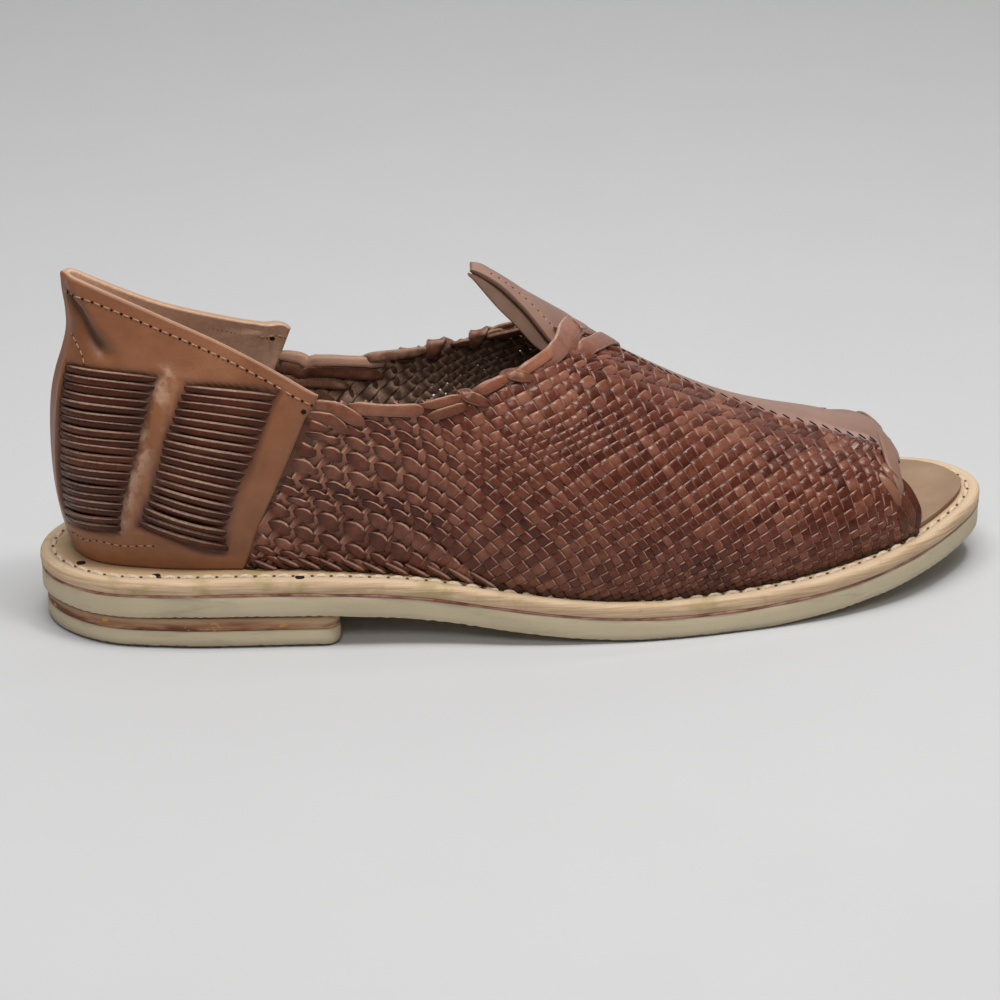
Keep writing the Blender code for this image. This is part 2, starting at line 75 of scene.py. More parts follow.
def smooth(at, xs, ys):
    """Reads a smooth curve through points. ys may hold a number or a vector for each."""
    at = np.clip(np.atleast_1d(np.asarray(at, float)), xs[0], xs[-1])
    ys = np.asarray(ys, float)
    slopes = np.gradient(ys, xs, axis=0)
    left = np.clip(np.searchsorted(xs, at, side="right") - 1, 0, len(xs) - 2)
    shape = (-1,) + (1,) * (ys.ndim - 1)
    step = (xs[left + 1] - xs[left]).reshape(shape)
    t = ((at - xs[left]) / (xs[left + 1] - xs[left])).reshape(shape)
    return (
        (2 * t**3 - 3 * t**2 + 1) * ys[left]
        + (t**3 - 2 * t**2 + t) * step * slopes[left]
        + (3 * t**2 - 2 * t**3) * ys[left + 1]
        + (t**3 - t**2) * step * slopes[left + 1]
    )


OUTLINE = columns(
    "x lateral medial",
    [
        (0, 0, 0),
        (5, -15.2, 15.4),
        (18, -27, 27.8),
        (38, -33, 33),
        (75, -37.7, 32),
        (112, -41.2, 28.3),
        (150, -47.3, 30.5),
        (185, -49, 39),
        (216, -46.3, 44.6),
        (245, -41, 43.6),
        (268, -31.8, 38.4),
        (286, -18.4, 28.6),
        (SOLE_LENGTH, 3.5, 3.5),
    ],
)
UNDERSIDE = columns(
    "x height",
    [
        (0, HEEL_HEIGHT),
        (92, HEEL_HEIGHT),
        (110, 0.87 * HEEL_HEIGHT),
        (130, 0.6 * HEEL_HEIGHT),
        (150, 0.31 * HEEL_HEIGHT),
        (168, 0.1 * HEEL_HEIGHT),
        (186, 0),
        (212, 0),
        (232, 0.12 * TOE_SPRING),
        (255, 0.36 * TOE_SPRING),
        (275, 0.66 * TOE_SPRING),
        (SOLE_LENGTH, TOE_SPRING),
    ],
)


def unit(vectors):
    """Vectors of length 1 that point the same way."""
    return vectors / np.linalg.norm(vectors, axis=-1, keepdims=True)


def run_length(line):
    """How far along a line each of its points is."""
    return np.r_[0, np.cumsum(np.linalg.norm(np.diff(line, axis=0), axis=1))]


def outline_side(x, side):
    """The sole's reach to one side, read along the angle that keeps its ends round."""

    def angle(place):
        return np.arccos(np.clip(1 - 2 * place / SOLE_LENGTH, -1, 1))

    return smooth(angle(np.asarray(x)), angle(OUTLINE["x"]), OUTLINE[side])


def underside(x):
    """Height of the outsole's underside above the floor."""
    return np.clip(smooth(x, UNDERSIDE["x"], UNDERSIDE["height"]), 0, None)


def stations(start, end, count):
    """Places along the sole that crowd at both ends, where its outline is round."""
    return start + (end - start) * (1 - np.cos(np.linspace(0, math.pi, count))) / 2


def sole_sides(count=150):
    """The whole outline as a lateral and a medial line of points seen from above."""
    x = stations(0, SOLE_LENGTH, count)
    return [np.stack([x, outline_side(x, side)], axis=1) for side in ("lateral", "medial")]


BOX_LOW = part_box("midsole")[0]
SHIFT = np.array([BOX_LOW[0], BOX_LOW[1] - sole_sides()[0][:, 1].min() * MM, 0.0])


def place(points):
    """From the shoe's millimetres to the model's metres."""
    return np.asarray(points, float) * MM + SHIFT


def edge_normals(line, sign):
    """Which way one side of an outline faces, seen from above."""
    along = unit(np.gradient(line, axis=0))
    return np.stack([-along[:, 1], along[:, 0]], axis=1) * sign


def inset(sides, amount):
    """Both sides of an outline, moved inwards along their own normals."""
    moved = []
    for line, sign in zip(sides, (-1, 1)):
        moved.append(line - np.reshape(amount, (-1, 1)) * edge_normals(line, sign))
    for end in (0, -1):
        moved[0][end] = moved[1][end] = (moved[0][end] + moved[1][end]) / 2
    return moved


def ride(piece, slot, *replaced):
    """Fixes a finished piece to the shoe's one body."""
    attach(piece, "root")
    if replaced:
        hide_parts(*replaced)


def in_scene(name, data):
    """A new object of the scene."""
    made = bpy.data.objects.new(name, data)
    bpy.context.scene.collection.objects.link(made)
    return made


def store(mesh, key, values):
    """Keeps a number or a vector with each point of a mesh."""
    values = np.asarray(values, float)
    kind, field = ("FLOAT_VECTOR", "vector") if values.ndim == 2 else ("FLOAT", "value")
    layer = mesh.attributes.new(key, kind, "POINT")
    layer.data.foreach_set(field, values.ravel())


def face_outwards(mesh, merge=0.0):
    """Turns the faces of a closed mesh outwards and shades it smooth. Points closer than
    merge, in millimetres, become one."""
    shape = bmesh.new()
    shape.from_mesh(mesh)
    if merge:
        bmesh.ops.remove_doubles(shape, verts=shape.verts, dist=merge * MM)
    bmesh.ops.recalc_face_normals(shape, faces=shape.faces)
    shape.to_mesh(mesh)
    shape.free()
    mesh.shade_smooth()


def mesh_piece(name, points, faces, look, values, merge):
    """A closed mesh object of points in the shoe's millimetres."""
    mesh = bpy.data.meshes.new(name)
    mesh.from_pydata(place(points).tolist(), [], faces)
    for key, column in values.items():
        store(mesh, key, np.ravel(column))
    face_outwards(mesh, merge)
    mesh.materials.append(look)
    return in_scene(name, mesh)


WAVE_LENGTHS = (19, 11, 6.5, 3.4)
WAVE_FADE = 6.0
TOOTH_SPACING = 3.1
CUT_DEPTH = 2.5


def sole_layer(name, sides, section, look, unevenness, teeth=0.0, seed=1):
    """A flat layer of the sole, bent with the shoe. section runs round its edge from the
    inner bottom to the inner top, as (inset, height above the underside) pairs."""
    count = len(sides[0])
    rng = np.random.default_rng(seed)
    along = run_length(sides[0])
    wave = sum(np.sin(along / length + rng.uniform(0, 6.3)) / 4 for length in WAVE_LENGTHS)
    wave *= np.clip(np.minimum(along, along[-1] - along) / WAVE_FADE, 0, 1)
    tooth = teeth * (np.abs((along / TOOTH_SPACING) % 1 - 0.5) * 2) * (1 + wave)
    left, right = [], []
    for amount, height in section:
        shifted = inset(sides, amount + unevenness * wave * (amount < CUT_DEPTH))
        lowered = np.where(height <= 0.5, tooth, 0.0)
        for ring, line in zip((left, right), shifted):
            ring.append(np.column_stack([line, underside(line[:, 0]) + height + lowered]))
    rings = left + right[::-1]
    depth = [amount for amount, _ in section]
    depth = np.repeat(depth + depth[::-1], count)
    faces = []
    for ring in range(len(rings)):
        here, there = ring * count, (ring + 1) % len(rings) * count
        for at in range(count - 1):
            faces.append((here + at, there + at, there + at + 1, here + at + 1))
    return mesh_piece(name, np.concatenate(rings), faces, look, {"depth": depth}, merge=0.02)


class Value:
    """A number that varies over a surface. Sums on it add their Math nodes."""

    def __init__(self, nodes, socket):
        self.nodes = nodes
        self.socket = socket

    def math(self, operation, other):
        return self.nodes.add("ShaderNodeMath", {"operation": operation}, {0: self, 1: other})

    def __add__(self, other):
        return self.math("ADD", other)

    def __sub__(self, other):
        return self.math("SUBTRACT", other)

    def __mul__(self, other):
        return self.math("MULTIPLY", other)

    def __rsub__(self, other):
        return (self * -1) + other

    __radd__ = __add__
    __rmul__ = __mul__

    def between(self, low, high):
        """0 below low, 1 above high and a smooth step from one to the other."""
        sockets = {"Value": self, "From Min": low, "From Max": high}
        return self.nodes.add("ShaderNodeMapRange", {"interpolation_type": "SMOOTHSTEP"}, sockets)


class Nodes:
    """A node tree that is filled by one method."""

    def __init__(self, tree):
        self.tree = tree

    def add(self, kind, settings=None, sockets=None, out=0):
        """Adds a node with its settings and sockets, and returns one of its outputs."""
        node = self.tree.nodes.new(kind)
        for key, value in (settings or {}).items():
            if key == "ramp":
                self.fill_ramp(node.color_ramp, value)
            else:
                setattr(node, key, value)
        for key, value in (sockets or {}).items():
            socket = node.inputs[key]
            value = getattr(value, "socket", value)
            if isinstance(value, bpy.types.NodeSocket):
                self.tree.links.new(value, socket)
            else:
                socket.default_value = value
        return Value(self, node.outputs[out]) if len(node.outputs) else node

    def fill_ramp(self, ramp, stops):
        while len(ramp.elements) < len(stops):
            ramp.elements.new(0.5)
        for element, (at, colour) in zip(ramp.elements, stops):
            element.position = at
            element.color = (*colour, 1)


class Finish(Nodes):
    """A Principled material that is built up from noises, masks and mixes."""

    def __init__(self, name, **constants):
        self.material = bpy.data.materials.new(name)
        self.material.use_nodes = True
        super().__init__(self.material.node_tree)
        self.shader = self.tree.nodes["Principled BSDF"]
        for key, value in constants.items():
            self.shader.inputs[key.replace("_", " ")].default_value = value
        self.where = self.add("ShaderNodeTexCoord", out=3)

    def stretched(self, scale):
        """The place on the piece, with its axes scaled for a pattern with a direction."""
        return self.add("ShaderNodeMapping", None, {"Vector": self.where, "Scale": scale})

    def noise(self, size, detail=2.0, rough=0.5, where=None):
        """A cloudy value of about 0.5, whose spots are this many millimetres wide."""
        sockets = {"Vector": where or self.where, "Scale": 1 / (size * MM)}
        sockets.update(Detail=detail, Roughness=rough)
        return self.add("ShaderNodeTexNoise", None, sockets)

    def along(self, axis):
        """How far along one axis of the model a point is, in metres."""
        return self.add("ShaderNodeSeparateXYZ", None, {0: self.where}, out=axis)

    def attribute(self, name):
        """A value that the mesh keeps at its points."""
        return self.add("ShaderNodeAttribute", {"attribute_name": name}, out=2)

    def mix(self, share, first, second):
        """A colour between two, given as three numbers or as another mix."""
        first, second = [c if hasattr(c, "socket") else (*c, 1) for c in (first, second)]
        sockets = {0: share, 6: first, 7: second}
        return self.add("ShaderNodeMix", {"data_type": "RGBA"}, sockets, out=2)

    def ramp(self, value, *stops):
        """A colour between several, each given with the value that it stands at."""
        return self.add("ShaderNodeValToRGB", {"ramp": stops}, {0: value})

    def set(self, **sockets):
        """Links what varies to the shader."""
        for key, value in sockets.items():
            self.tree.links.new(value.socket, self.shader.inputs[key.replace("_", " ")])

    def bump(self, height, depth):
        """Relief of this many millimetres from a value of 0 to 1."""
        sockets = {"Strength": 1.0, "Distance": depth * MM, "Height": height}
        self.set(Normal=self.add("ShaderNodeBump", None, sockets))


def rubber_finish():
    look = Finish("sole_rubber", Specular_IOR_Level=0.35)
    cloud = look.noise(38, 3)
    fine = look.noise(1.1, 3, 0.7)
    smear = look.noise(7, 4, 0.65, look.stretched((0.3, 1, 2.2)))
    base = look.ramp(cloud, (0.3, (0.5, 0.41, 0.27)), (0.7, (0.6, 0.51, 0.35)))
    dirt = smear.between(0.52, 0.8) * 0.45
    soiled = look.mix(dirt, base, (0.2, 0.165, 0.105))
    height = look.along(2)
    # Darker towards the bottom, where the rubber meets the floor, and darkest in a ragged line along
    # the lowest millimetre under the heel.
    low = 1 - height.between(-0.001, 0.0035)
    tinted = look.mix(low * 0.5, soiled, (0.17, 0.14, 0.09))
    at_heel = 1 - look.along(0).between(0.045, 0.085)
    dark_heel_bottom = 1 - (height + look.noise(3, 3, 0.7) * -0.0012).between(0.0001, 0.0007)
    tinted = look.mix(dark_heel_bottom * (at_heel * 0.7 + 0.2), tinted, (0.03, 0.024, 0.014))
    look.set(Base_Color=tinted, Roughness=cloud * 0.2 + 0.5)
    look.bump(fine * 0.6 + smear * 0.4, 0.18)
    return look.material


RUBBER = rubber_finish()
outsole_section = [(9.0, 0.0), (1.6, 0.0), (0.75, 0.15), (0.35, 0.75), (0.25, 2.4)]
outsole_section += [(0.3, 4.6), (0.4, 6.6), (0.75, 7.15), (1.5, 7.3), (9.0, 7.3)]
outsole = sole_layer(
    "rubber_outsole", sole_sides(260), outsole_section, RUBBER, 0.16, 0.28, seed=3
)
ride(outsole, "sole_rubber", "outsole")


# ------------------------------------------------------------------ the heel block
# A layer of orange-brown leather on a moulded rubber top piece. Both are cut to the heel's
# outline, with round corners at the breast, and glued under the outsole.

HEEL_LENGTH = 88.8
HEEL_CORNER = 5.0
HEEL_INSET = 1.4


def heel_sides():
    """The heel's outline, carried round both corners of the breast to its middle."""
    x = stations(0, 2 * HEEL_LENGTH, 150)
    x = np.append(x[x < HEEL_LENGTH - HEEL_CORNER - 1], HEEL_LENGTH - HEEL_CORNER)
    moved = []
    for side, sign in (("lateral", -1), ("medial", 1)):
        line = np.stack([x, outline_side(x, side)], axis=1)
        line = line - HEEL_INSET * edge_normals(line, sign)
        if sign > 0:
            line[0] = moved[0][0] = (line[0] + moved[0][0]) / 2
        turn = np.linspace(0, math.pi / 2, 9)[1:]
        corner = line[-1] - (0, sign * HEEL_CORNER)
        arc = corner + HEEL_CORNER * np.stack([np.sin(turn), sign * np.cos(turn)], axis=1)
        across = np.linspace(arc[-1], (arc[-1][0], 0), 12)[1:]
        moved.append(np.vstack([line, arc, across]))
    return moved


def heel_leather_finish():
    look = Finish("heel_leather", Specular_IOR_Level=0.3)
    layers = look.noise(5, 4, 0.6, look.stretched((0.14, 0.14, 1.6)))
    cloud = look.noise(14, 3, 0.6, look.stretched((0.5, 0.5, 2.0)))
    height = look.along(2)
    base = look.ramp(
        layers,
        (0.3, (0.16, 0.052, 0.026)),
        (0.45, (0.33, 0.155, 0.078)),
        (0.58, (0.44, 0.27, 0.15)),
        (0.7, (0.52, 0.4, 0.25)),
    )
    upper = (height + cloud * 0.004).between(0.0095, 0.0112)
    pale = look.mix(upper * 0.55, base, (0.42, 0.3, 0.185))
    lower = 1 - (height + cloud * -0.004).between(0.0045, 0.0062)
    glued = look.mix(lower * cloud.between(0.42, 0.55), pale, (0.15, 0.045, 0.022))
    look.set(Base_Color=look.mix(look.noise(3, 2).between(0.62, 0.7), glued, (0.5, 0.27, 0.08)))
    look.set(Roughness=layers * 0.2 + 0.5)
    look.bump(layers, 0.25)
    return look.material


HEEL_LEATHER = heel_leather_finish()
top_piece_section = [(9.0, 0.0), (1.5, 0.0), (0.6, 0.2), (0.1, 1.0), (0.0, 2.8)]
top_piece_section += [(0.0, 4.9), (0.4, 5.6), (1.2, 5.7), (9.0, 5.7)]
lift_section = [(9.0, 5.75), (0.5, 5.75), (0.25, 6.3), (0.2, 8.9), (0.45, 9.85), (9.0, 9.85)]
heel_top = sole_layer("heel_rubber_block", heel_sides(), top_piece_section, RUBBER, 0.12, 0.3)
heel_lift = sole_layer("heel_leather_layer", heel_sides(), lift_section, HEEL_LEATHER, 0.15)
# The block stands flat on the floor, so the outsole's bend is taken out of it again.
for piece in (heel_top, heel_lift):
    for vertex in piece.data.vertices:
        x = vertex.co.x / MM - SHIFT[0] / MM
        vertex.co.z -= float(underside(x)[0]) * MM
ride(heel_top, "heel_rubber", "heel_top_piece")
ride(heel_lift, "heel_leather", "heel_lift")


# ------------------------------------------------------------------ the leather platform
# A thick sheet of pale vegetable-tanned leather that the laces end in. Its edge is cut by
# hand, its rim is pressed lighter, and a groove holds the stitches down to the rubber.

STITCH_INSET = 4.2
PLATFORM_THICKNESS = 4.6
PLATFORM_TOP = OUTSOLE_THICKNESS + PLATFORM_THICKNESS


def platform_finish():
    look = Finish("platform_leather", Specular_IOR_Level=0.3)
    depth = look.attribute("depth")
    cloud = look.noise(30, 3)
    fibre = look.noise(1.3, 4, 0.7)
    layers = look.noise(1.6, 3, 0.6, look.stretched((0.1, 0.1, 2.5)))
    grain = look.ramp(cloud, (0.3, (0.52, 0.37, 0.23)), (0.7, (0.62, 0.46, 0.3)))
    cut = look.ramp(layers, (0.3, (0.47, 0.31, 0.185)), (0.7, (0.73, 0.53, 0.335)))
    body = look.mix(depth.between(0.4, 1.2), cut, grain)
    # Painted shade: darker just inside the stitches, at the foot of the woven wall.
    inner = look.mix(depth.between(4.6, 6.4) * 0.55, body, (0.42, 0.245, 0.115))
    rim = depth.between(0.9, 1.5) * (1 - depth.between(2.2, 3.4))
    lightened = look.mix(rim * 0.5, inner, (0.62, 0.48, 0.33))
    stain = look.noise(5, 4, 0.7).between(0.57, 0.75) * 0.5
    stained = look.mix(stain, lightened, (0.36, 0.22, 0.11))
    at_heel = 1 - look.along(0).between(0.03, 0.09)
    olive = look.noise(11, 3).between(0.5, 0.66) * at_heel
    look.set(Base_Color=look.mix(olive * 0.6, stained, (0.34, 0.27, 0.1)))
    look.set(Roughness=fibre * 0.25 + 0.45)
    look.bump(fibre * 0.5 + layers * 0.5, 0.22)
    return look.material


PLATFORM_LEATHER = platform_finish()
platform_section = [(9.0, 7.65), (0.9, 7.65), (0.25, 8.0), (0.0, 9.4), (0.1, 10.9)]
platform_section += [(0.45, 11.75), (1.1, 12.15), (2.2, 12.2), (3.2, 12.1), (3.75, 11.85)]
platform_section += [(STITCH_INSET, 11.7), (4.65, 11.85), (5.2, 12.1), (9.0, 12.2)]
platform = sole_layer(
    "leather_platform", sole_sides(300), platform_section, PLATFORM_LEATHER, 0.3, seed=8
)
ride(platform, "platform_leather", "midsole")


def glue_finish():
    look = Finish("glue_line", Roughness=0.7)
    patch = look.noise(4, 3, 0.6, look.stretched((0.5, 0.5, 1)))
    at_heel = 1 - look.along(0).between(0.075, 0.13)
    pink = [(0.38, (0.2, 0.05, 0.035)), (0.55, (0.4, 0.2, 0.14)), (0.7, (0.5, 0.36, 0.25))]
    plain = [(0.35, (0.2, 0.1, 0.062)), (0.55, (0.34, 0.2, 0.125)), (0.7, (0.5, 0.37, 0.24))]
    pink, plain = look.ramp(patch, *pink), look.ramp(patch, *plain)
    look.set(Base_Color=look.mix(at_heel, plain, pink))
    return look.material


glue_section = [(9.0, 6.95), (0.4, 6.95), (0.28, 7.35), (0.4, 7.8), (9.0, 7.8)]
glue = sole_layer("glue_line", sole_sides(260), glue_section, glue_finish(), 0.2, seed=5)
ride(glue, "platform_leather")


# ------------------------------------------------------------------ the footbed
# Darker tan leather that lines the platform inside the upper. Its toe end shows, and further
# in, towards the heel, painted shade darkens it to near black.


def footbed_finish():
    look = Finish("footbed_leather", Specular_IOR_Level=0.3)
    cloud = look.noise(26, 3, 0.6)
    pores = look.noise(0.9, 3, 0.7)
    base = look.ramp(cloud, (0.3, (0.25, 0.15, 0.088)), (0.7, (0.345, 0.23, 0.145)))
    mark = look.noise(6, 4, 0.7).between(0.58, 0.75) * 0.35
    marked = look.mix(mark, base, (0.22, 0.12, 0.06))
    # Painted shade: near black further into the shoe, towards the heel.
    painted_shade_towards_heel = look.along(0).between(0.07, 0.05)
    look.set(Base_Color=look.mix(painted_shade_towards_heel, marked, (0.05, 0.025, 0.014)))
    look.set(Roughness=pores * 0.2 + 0.5)
    look.bump(pores, 0.15)
    return look.material


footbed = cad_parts["insole"]
footbed.data.materials.clear()
footbed.data.materials.append(footbed_finish())


# ------------------------------------------------------------------ the wall of the upper
# The shape that the shoe was woven on. Each rib is one curve from the sole to the collar,
# or to the crest of the vamp, and every lace and panel of the upper is laid on them.

WALL_GAP = 0.3
PINCH_DEPTH = 3.2
PINCH_HEIGHT = 0.78
PINCH_SPREAD = 0.14
PINCH_RIBS = 1.6
EASE_RIBS = 2.0
EASE_ROUNDS = 12
EASE_SHARE = 0.5
COUNTER_RIB = 5
THROAT_RIB = 14
LAST_RIB = 21
SIDE_COLUMNS = 43
UPPER_ROWS = 15
# A rib leaves its foot at the angle lean and reaches its top at the angle arrive. low and
# high say how strongly, and face is the way that it faces. Angles are in degrees.
RIB_COLUMNS = "foot_x foot_y top_x top_y top_z face lean arrive low high"
LATERAL_RIBS = columns(
    RIB_COLUMNS,
    [
        (11, 0, 11.6, 0, 111, 90, 20, 5, 0.33, 0.28),
        (12.6, -7, 15.5, -4.6, 110, 66, 20, 8, 0.33, 0.28),
        (17, -13.3, 25, -9, 106.5, 45, 19, 13, 0.33, 0.28),
        (26, -18.6, 40, -13.6, 100, 25, 17, 17, 0.33, 0.28),
        (42, -24, 60, -20, 91.2, 10, 14, 18, 0.33, 0.3),
        (61, -27.3, 85.4, -28.2, 77.6, 3, 11, 11, 0.33, 0.33),
        (64, -27.8, 89, -28.3, 76.4, 3, 11, 11, 0.33, 0.33),
        (80, -30, 97, -28.7, 75, 0, 10, 12, 0.33, 0.33),
        (100, -33.2, 112, -29, 74.2, 0, 10, 15, 0.33, 0.33),
        (120, -36, 127, -28.4, 76.2, 0, 11, 22, 0.33, 0.33),
        (136, -40.6, 140, -25, 80.2, 0, 13, 39, 0.33, 0.33),
        (146.5, -43, 149, -20.5, 82.3, 0, 14, 53, 0.336, 0.337),
        (153, -44.2, 156, -14.5, 84.8, 0, 14, 63, 0.342, 0.337),
        (158.8, -44.9, 161, -7, 84.9, 0, 14, 76.5, 0.357, 0.348),
        (164, -45.4, 164, 2, 84.2, 0, 14, 90, 0.37, 0.38),
        (178, -45.6, 178, 2, 75.6, 0, 14, 90, 0.37, 0.38),
        (196, -44.2, 196, 2.2, 65.4, 0, 14, 90, 0.38, 0.4),
        (214, -41, 214, 2.5, 56.7, 0, 14, 90, 0.4, 0.43),
        (232, -38.2, 232, 2.5, 51, 0, 13, 90, 0.41, 0.45),
        (250, -33.2, 250, 2, 47.8, 0, 12, 90, 0.42, 0.46),
        (262, -29.5, 261, 1, 45.8, 0, 10, 90, 0.42, 0.46),
        (270, -26, 268, 0, 38.6, 0, 8, 90, 0.42, 0.46),
    ],
)
MEDIAL_RIBS = columns(
    RIB_COLUMNS,
    [
        (11, 0, 11.6, 0, 111, 90, 20, 5, 0.33, 0.28),
        (12.6, 7.2, 15.5, 4.6, 109.6, 66, 20, 8, 0.33, 0.28),
        (17, 14, 25, 9, 103.4, 45, 19, 13, 0.33, 0.28),
        (26, 19.8, 40, 13.6, 95.2, 25, 17, 17, 0.33, 0.28),
        (42, 24.6, 60, 20, 86.9, 10, 14, 18, 0.33, 0.3),
        (61, 26, 81.5, 27.6, 78.2, 3, 11, 11, 0.33, 0.33),
        (64, 26, 84.5, 28.5, 70.8, 3, 11, 11, 0.33, 0.33),
        (80, 25.5, 96, 29.5, 68.6, 0, 12, 8, 0.33, 0.33),
        (100, 24.3, 111, 29.5, 68.8, 0, 13, 12, 0.33, 0.33),
        (120, 23.8, 126, 28.5, 71, 0, 14, 22, 0.33, 0.34),
        (136, 24, 139, 25.5, 74.6, 0, 14, 36, 0.33, 0.33),
        (146.5, 25.2, 149, 22, 77.4, 0, 14, 48, 0.34, 0.335),
        (153, 26.3, 156, 16.5, 81.4, 0, 14, 60, 0.35, 0.34),
        (158.8, 27.4, 161, 9.8, 84, 0, 14, 75, 0.36, 0.35),
        (164, 28.8, 164, 2, 84.2, 0, 14, 90, 0.37, 0.38),
        (178, 32, 178, 2, 75.6, 0, 14, 90, 0.37, 0.38),
        (196, 36.5, 196, 2.2, 65.4, 0, 14, 90, 0.38, 0.4),
        (214, 39.3, 214, 2.5, 56.7, 0, 14, 90, 0.4, 0.43),
        (232, 39.5, 232, 2.5, 51, 0, 13, 90, 0.41, 0.45),
        (250, 36.3, 250, 2, 47.8, 0, 12, 90, 0.42, 0.46),
        (261, 32.5, 261, 1, 45.8, 0, 10, 90, 0.42, 0.46),
        (268, 29, 268, 0, 38.6, 0, 8, 90, 0.42, 0.46),
    ],
)
UPWARD = np.array([0, 0, 1.0])


def rib_values(ribs, number):
    """A rib between two rows of its table."""
    rows = np.arange(LAST_RIB + 1, dtype=float)
    values = {name: float(smooth(number, rows, column)[0]) for name, column in ribs.items()}
    if number >= THROAT_RIB:
        crest = rows[THROAT_RIB:]
        for name in ("top_x", "top_y", "top_z"):
            values[name] = float(smooth(number, crest, ribs[name][THROAT_RIB:])[0])
        values["arrive"] = 90.0
    return values


def rib_curve(ribs, side, number, heights):
    """Points of a rib, from the sole up, at the given parts of its length."""
    rib = rib_values(ribs, number)
    foot = np.array([rib["foot_x"], rib["foot_y"], 0])
    foot[2] = underside(foot[0])[0] + PLATFORM_TOP + WALL_GAP
    top = np.array([rib["top_x"], rib["top_y"], rib["top_z"]])
    face = math.radians(rib["face"])
    outward = np.array([-math.sin(face), side * math.cos(face), 0])
    lean, arrive = math.radians(rib["lean"]), math.radians(rib["arrive"])
    size = np.linalg.norm(top - foot)
    drift = (top - foot) * (1, 1, 0)
    drift -= drift.dot(outward) * outward
    leaving = UPWARD * math.cos(lean) + outward * math.sin(lean)
    arriving = UPWARD * math.cos(arrive) - outward * math.sin(arrive)
    first = foot + rib["low"] * size * leaving + drift / 3
    second = top - rib["high"] * size * arriving - drift / 3
    t = np.asarray(heights)[:, None]
    curve = (
        (1 - t) ** 3 * foot
        + 3 * (1 - t) ** 2 * t * first
        + 3 * (1 - t) * t**2 * second
        + t**3 * top
    )
    near_back = math.exp(-((number / PINCH_RIBS) ** 2))
    near_pinch = np.exp(-(((t - PINCH_HEIGHT) / PINCH_SPREAD) ** 2))
    return curve - PINCH_DEPTH * near_back * near_pinch * outward


def rib_numbers():
    """Where the wall's columns fall among its ribs, evenly spaced along the sole."""
    steps = np.hypot(np.diff(LATERAL_RIBS["foot_x"]), np.diff(LATERAL_RIBS["foot_y"]))
    run = np.r_[0, np.cumsum(steps)]
    numbers = np.interp(np.linspace(0, run[-1], SIDE_COLUMNS), run, np.arange(LAST_RIB + 1))
    for kept in (COUNTER_RIB, COUNTER_RIB + 1, THROAT_RIB):
        numbers[np.argmin(abs(numbers - kept))] = kept
    return numbers


def ease(grid, numbers):
    """Spreads the wall's bend at the throat, as leather does, and leaves its edges."""
    near_throat = np.exp(-(((numbers - THROAT_RIB) / EASE_RIBS) ** 2))
    off_edges = np.sin(np.linspace(0, math.pi, grid.shape[1]))
    share = EASE_SHARE * (near_throat[:, None] * off_edges)[:, :, None]
    for _ in range(EASE_ROUNDS):
        between = (np.roll(grid, 1, axis=0) + np.roll(grid, -1, axis=0)) / 2
        facing = np.cross(np.gradient(grid, axis=0), np.gradient(grid, axis=1))
        facing /= np.linalg.norm(facing, axis=2, keepdims=True) + 1e-9
        grid = grid + share * ((between - grid) * facing).sum(axis=2, keepdims=True) * facing
    return grid


class Wall:
    """One side of the wall's outer face. A place on it is its rib and its height in mm."""

    def __init__(self, ribs, side):
        self.side = side
        numbers = rib_numbers()
        heights = np.linspace(0, 1, UPPER_ROWS)
        grid = np.array([rib_curve(ribs, side, number, heights) for number in numbers])
        grid = ease(grid, numbers)
        run = run_length(grid[:, 0])
        fine = np.unique(np.r_[np.linspace(0, run[-1], 240), run])
        self.ribs = np.interp(fine, run, numbers)
        grid = smooth(fine, run, grid)
        fine = np.linspace(0, 1, 61)
        self.grid = smooth(fine, heights, grid.transpose(1, 0, 2)).transpose(1, 0, 2)
        facing = np.cross(np.gradient(self.grid, axis=0), np.gradient(self.grid, axis=1))
        self.normals = unit(-side * facing)
        self.normals[0] = (-1, 0, 0)
        steps = np.linalg.norm(np.diff(self.grid, axis=1), axis=2)
        self.rise = np.concatenate([np.zeros((len(steps), 1)), np.cumsum(steps, axis=1)], axis=1)
        self.feet = np.maximum.accumulate(self.grid[:, 0, 0])

    def rib_at(self, foot):
        """The number of the rib that stands this far along the sole."""
        return np.interp(foot, self.feet, self.ribs)

    def height(self, rib):
        """The length of a rib, from the sole to the collar or the crest."""
        return np.interp(rib, self.ribs, self.rise[:, -1])

    def at(self, rib, height, lift=0.0):
        """Points of the wall, lifted off its face, and the way it faces there."""
        rib, height, lift = np.broadcast_arrays(
            np.atleast_1d(rib).astype(float), np.asarray(height, float), np.asarray(lift, float)
        )
        beyond = (height - self.height(rib)).clip(0) * (rib >= THROAT_RIB)
        if beyond.any():
            points, normals = self.at(rib, height - beyond, lift)
            past, over = beyond > 0, self.other
            points[past], normals[past] = over.at(
                rib[past], over.height(rib[past]) - beyond[past], lift[past]
            )
            return points, normals
        column = np.interp(rib, self.ribs, np.arange(len(self.ribs)))
        here = np.clip(column.astype(int), 0, len(self.ribs) - 2)
        across = (column - here)[:, None]
        rise = (1 - across) * self.rise[here] + across * self.rise[here + 1]
        row = np.clip((rise < height[:, None]).sum(axis=1) - 1, 0, rise.shape[1] - 2)
        each = np.arange(len(row))
        up = ((height - rise[each, row]) / (rise[each, row + 1] - rise[each, row]))[:, None]

        def read(table):
            low = (1 - across) * table[here, row] + across * table[here + 1, row]
            high = (1 - across) * table[here, row + 1] + across * table[here + 1, row + 1]
            return (1 - up) * low + up * high

        normal = unit(read(self.normals))
        return read(self.grid) + lift[:, None] * normal, normal


LATERAL = Wall(LATERAL_RIBS, -1)
MEDIAL = Wall(MEDIAL_RIBS, 1)
LATERAL.other, MEDIAL.other = MEDIAL, LATERAL
WALLS = {"outer": LATERAL, "inner": MEDIAL}


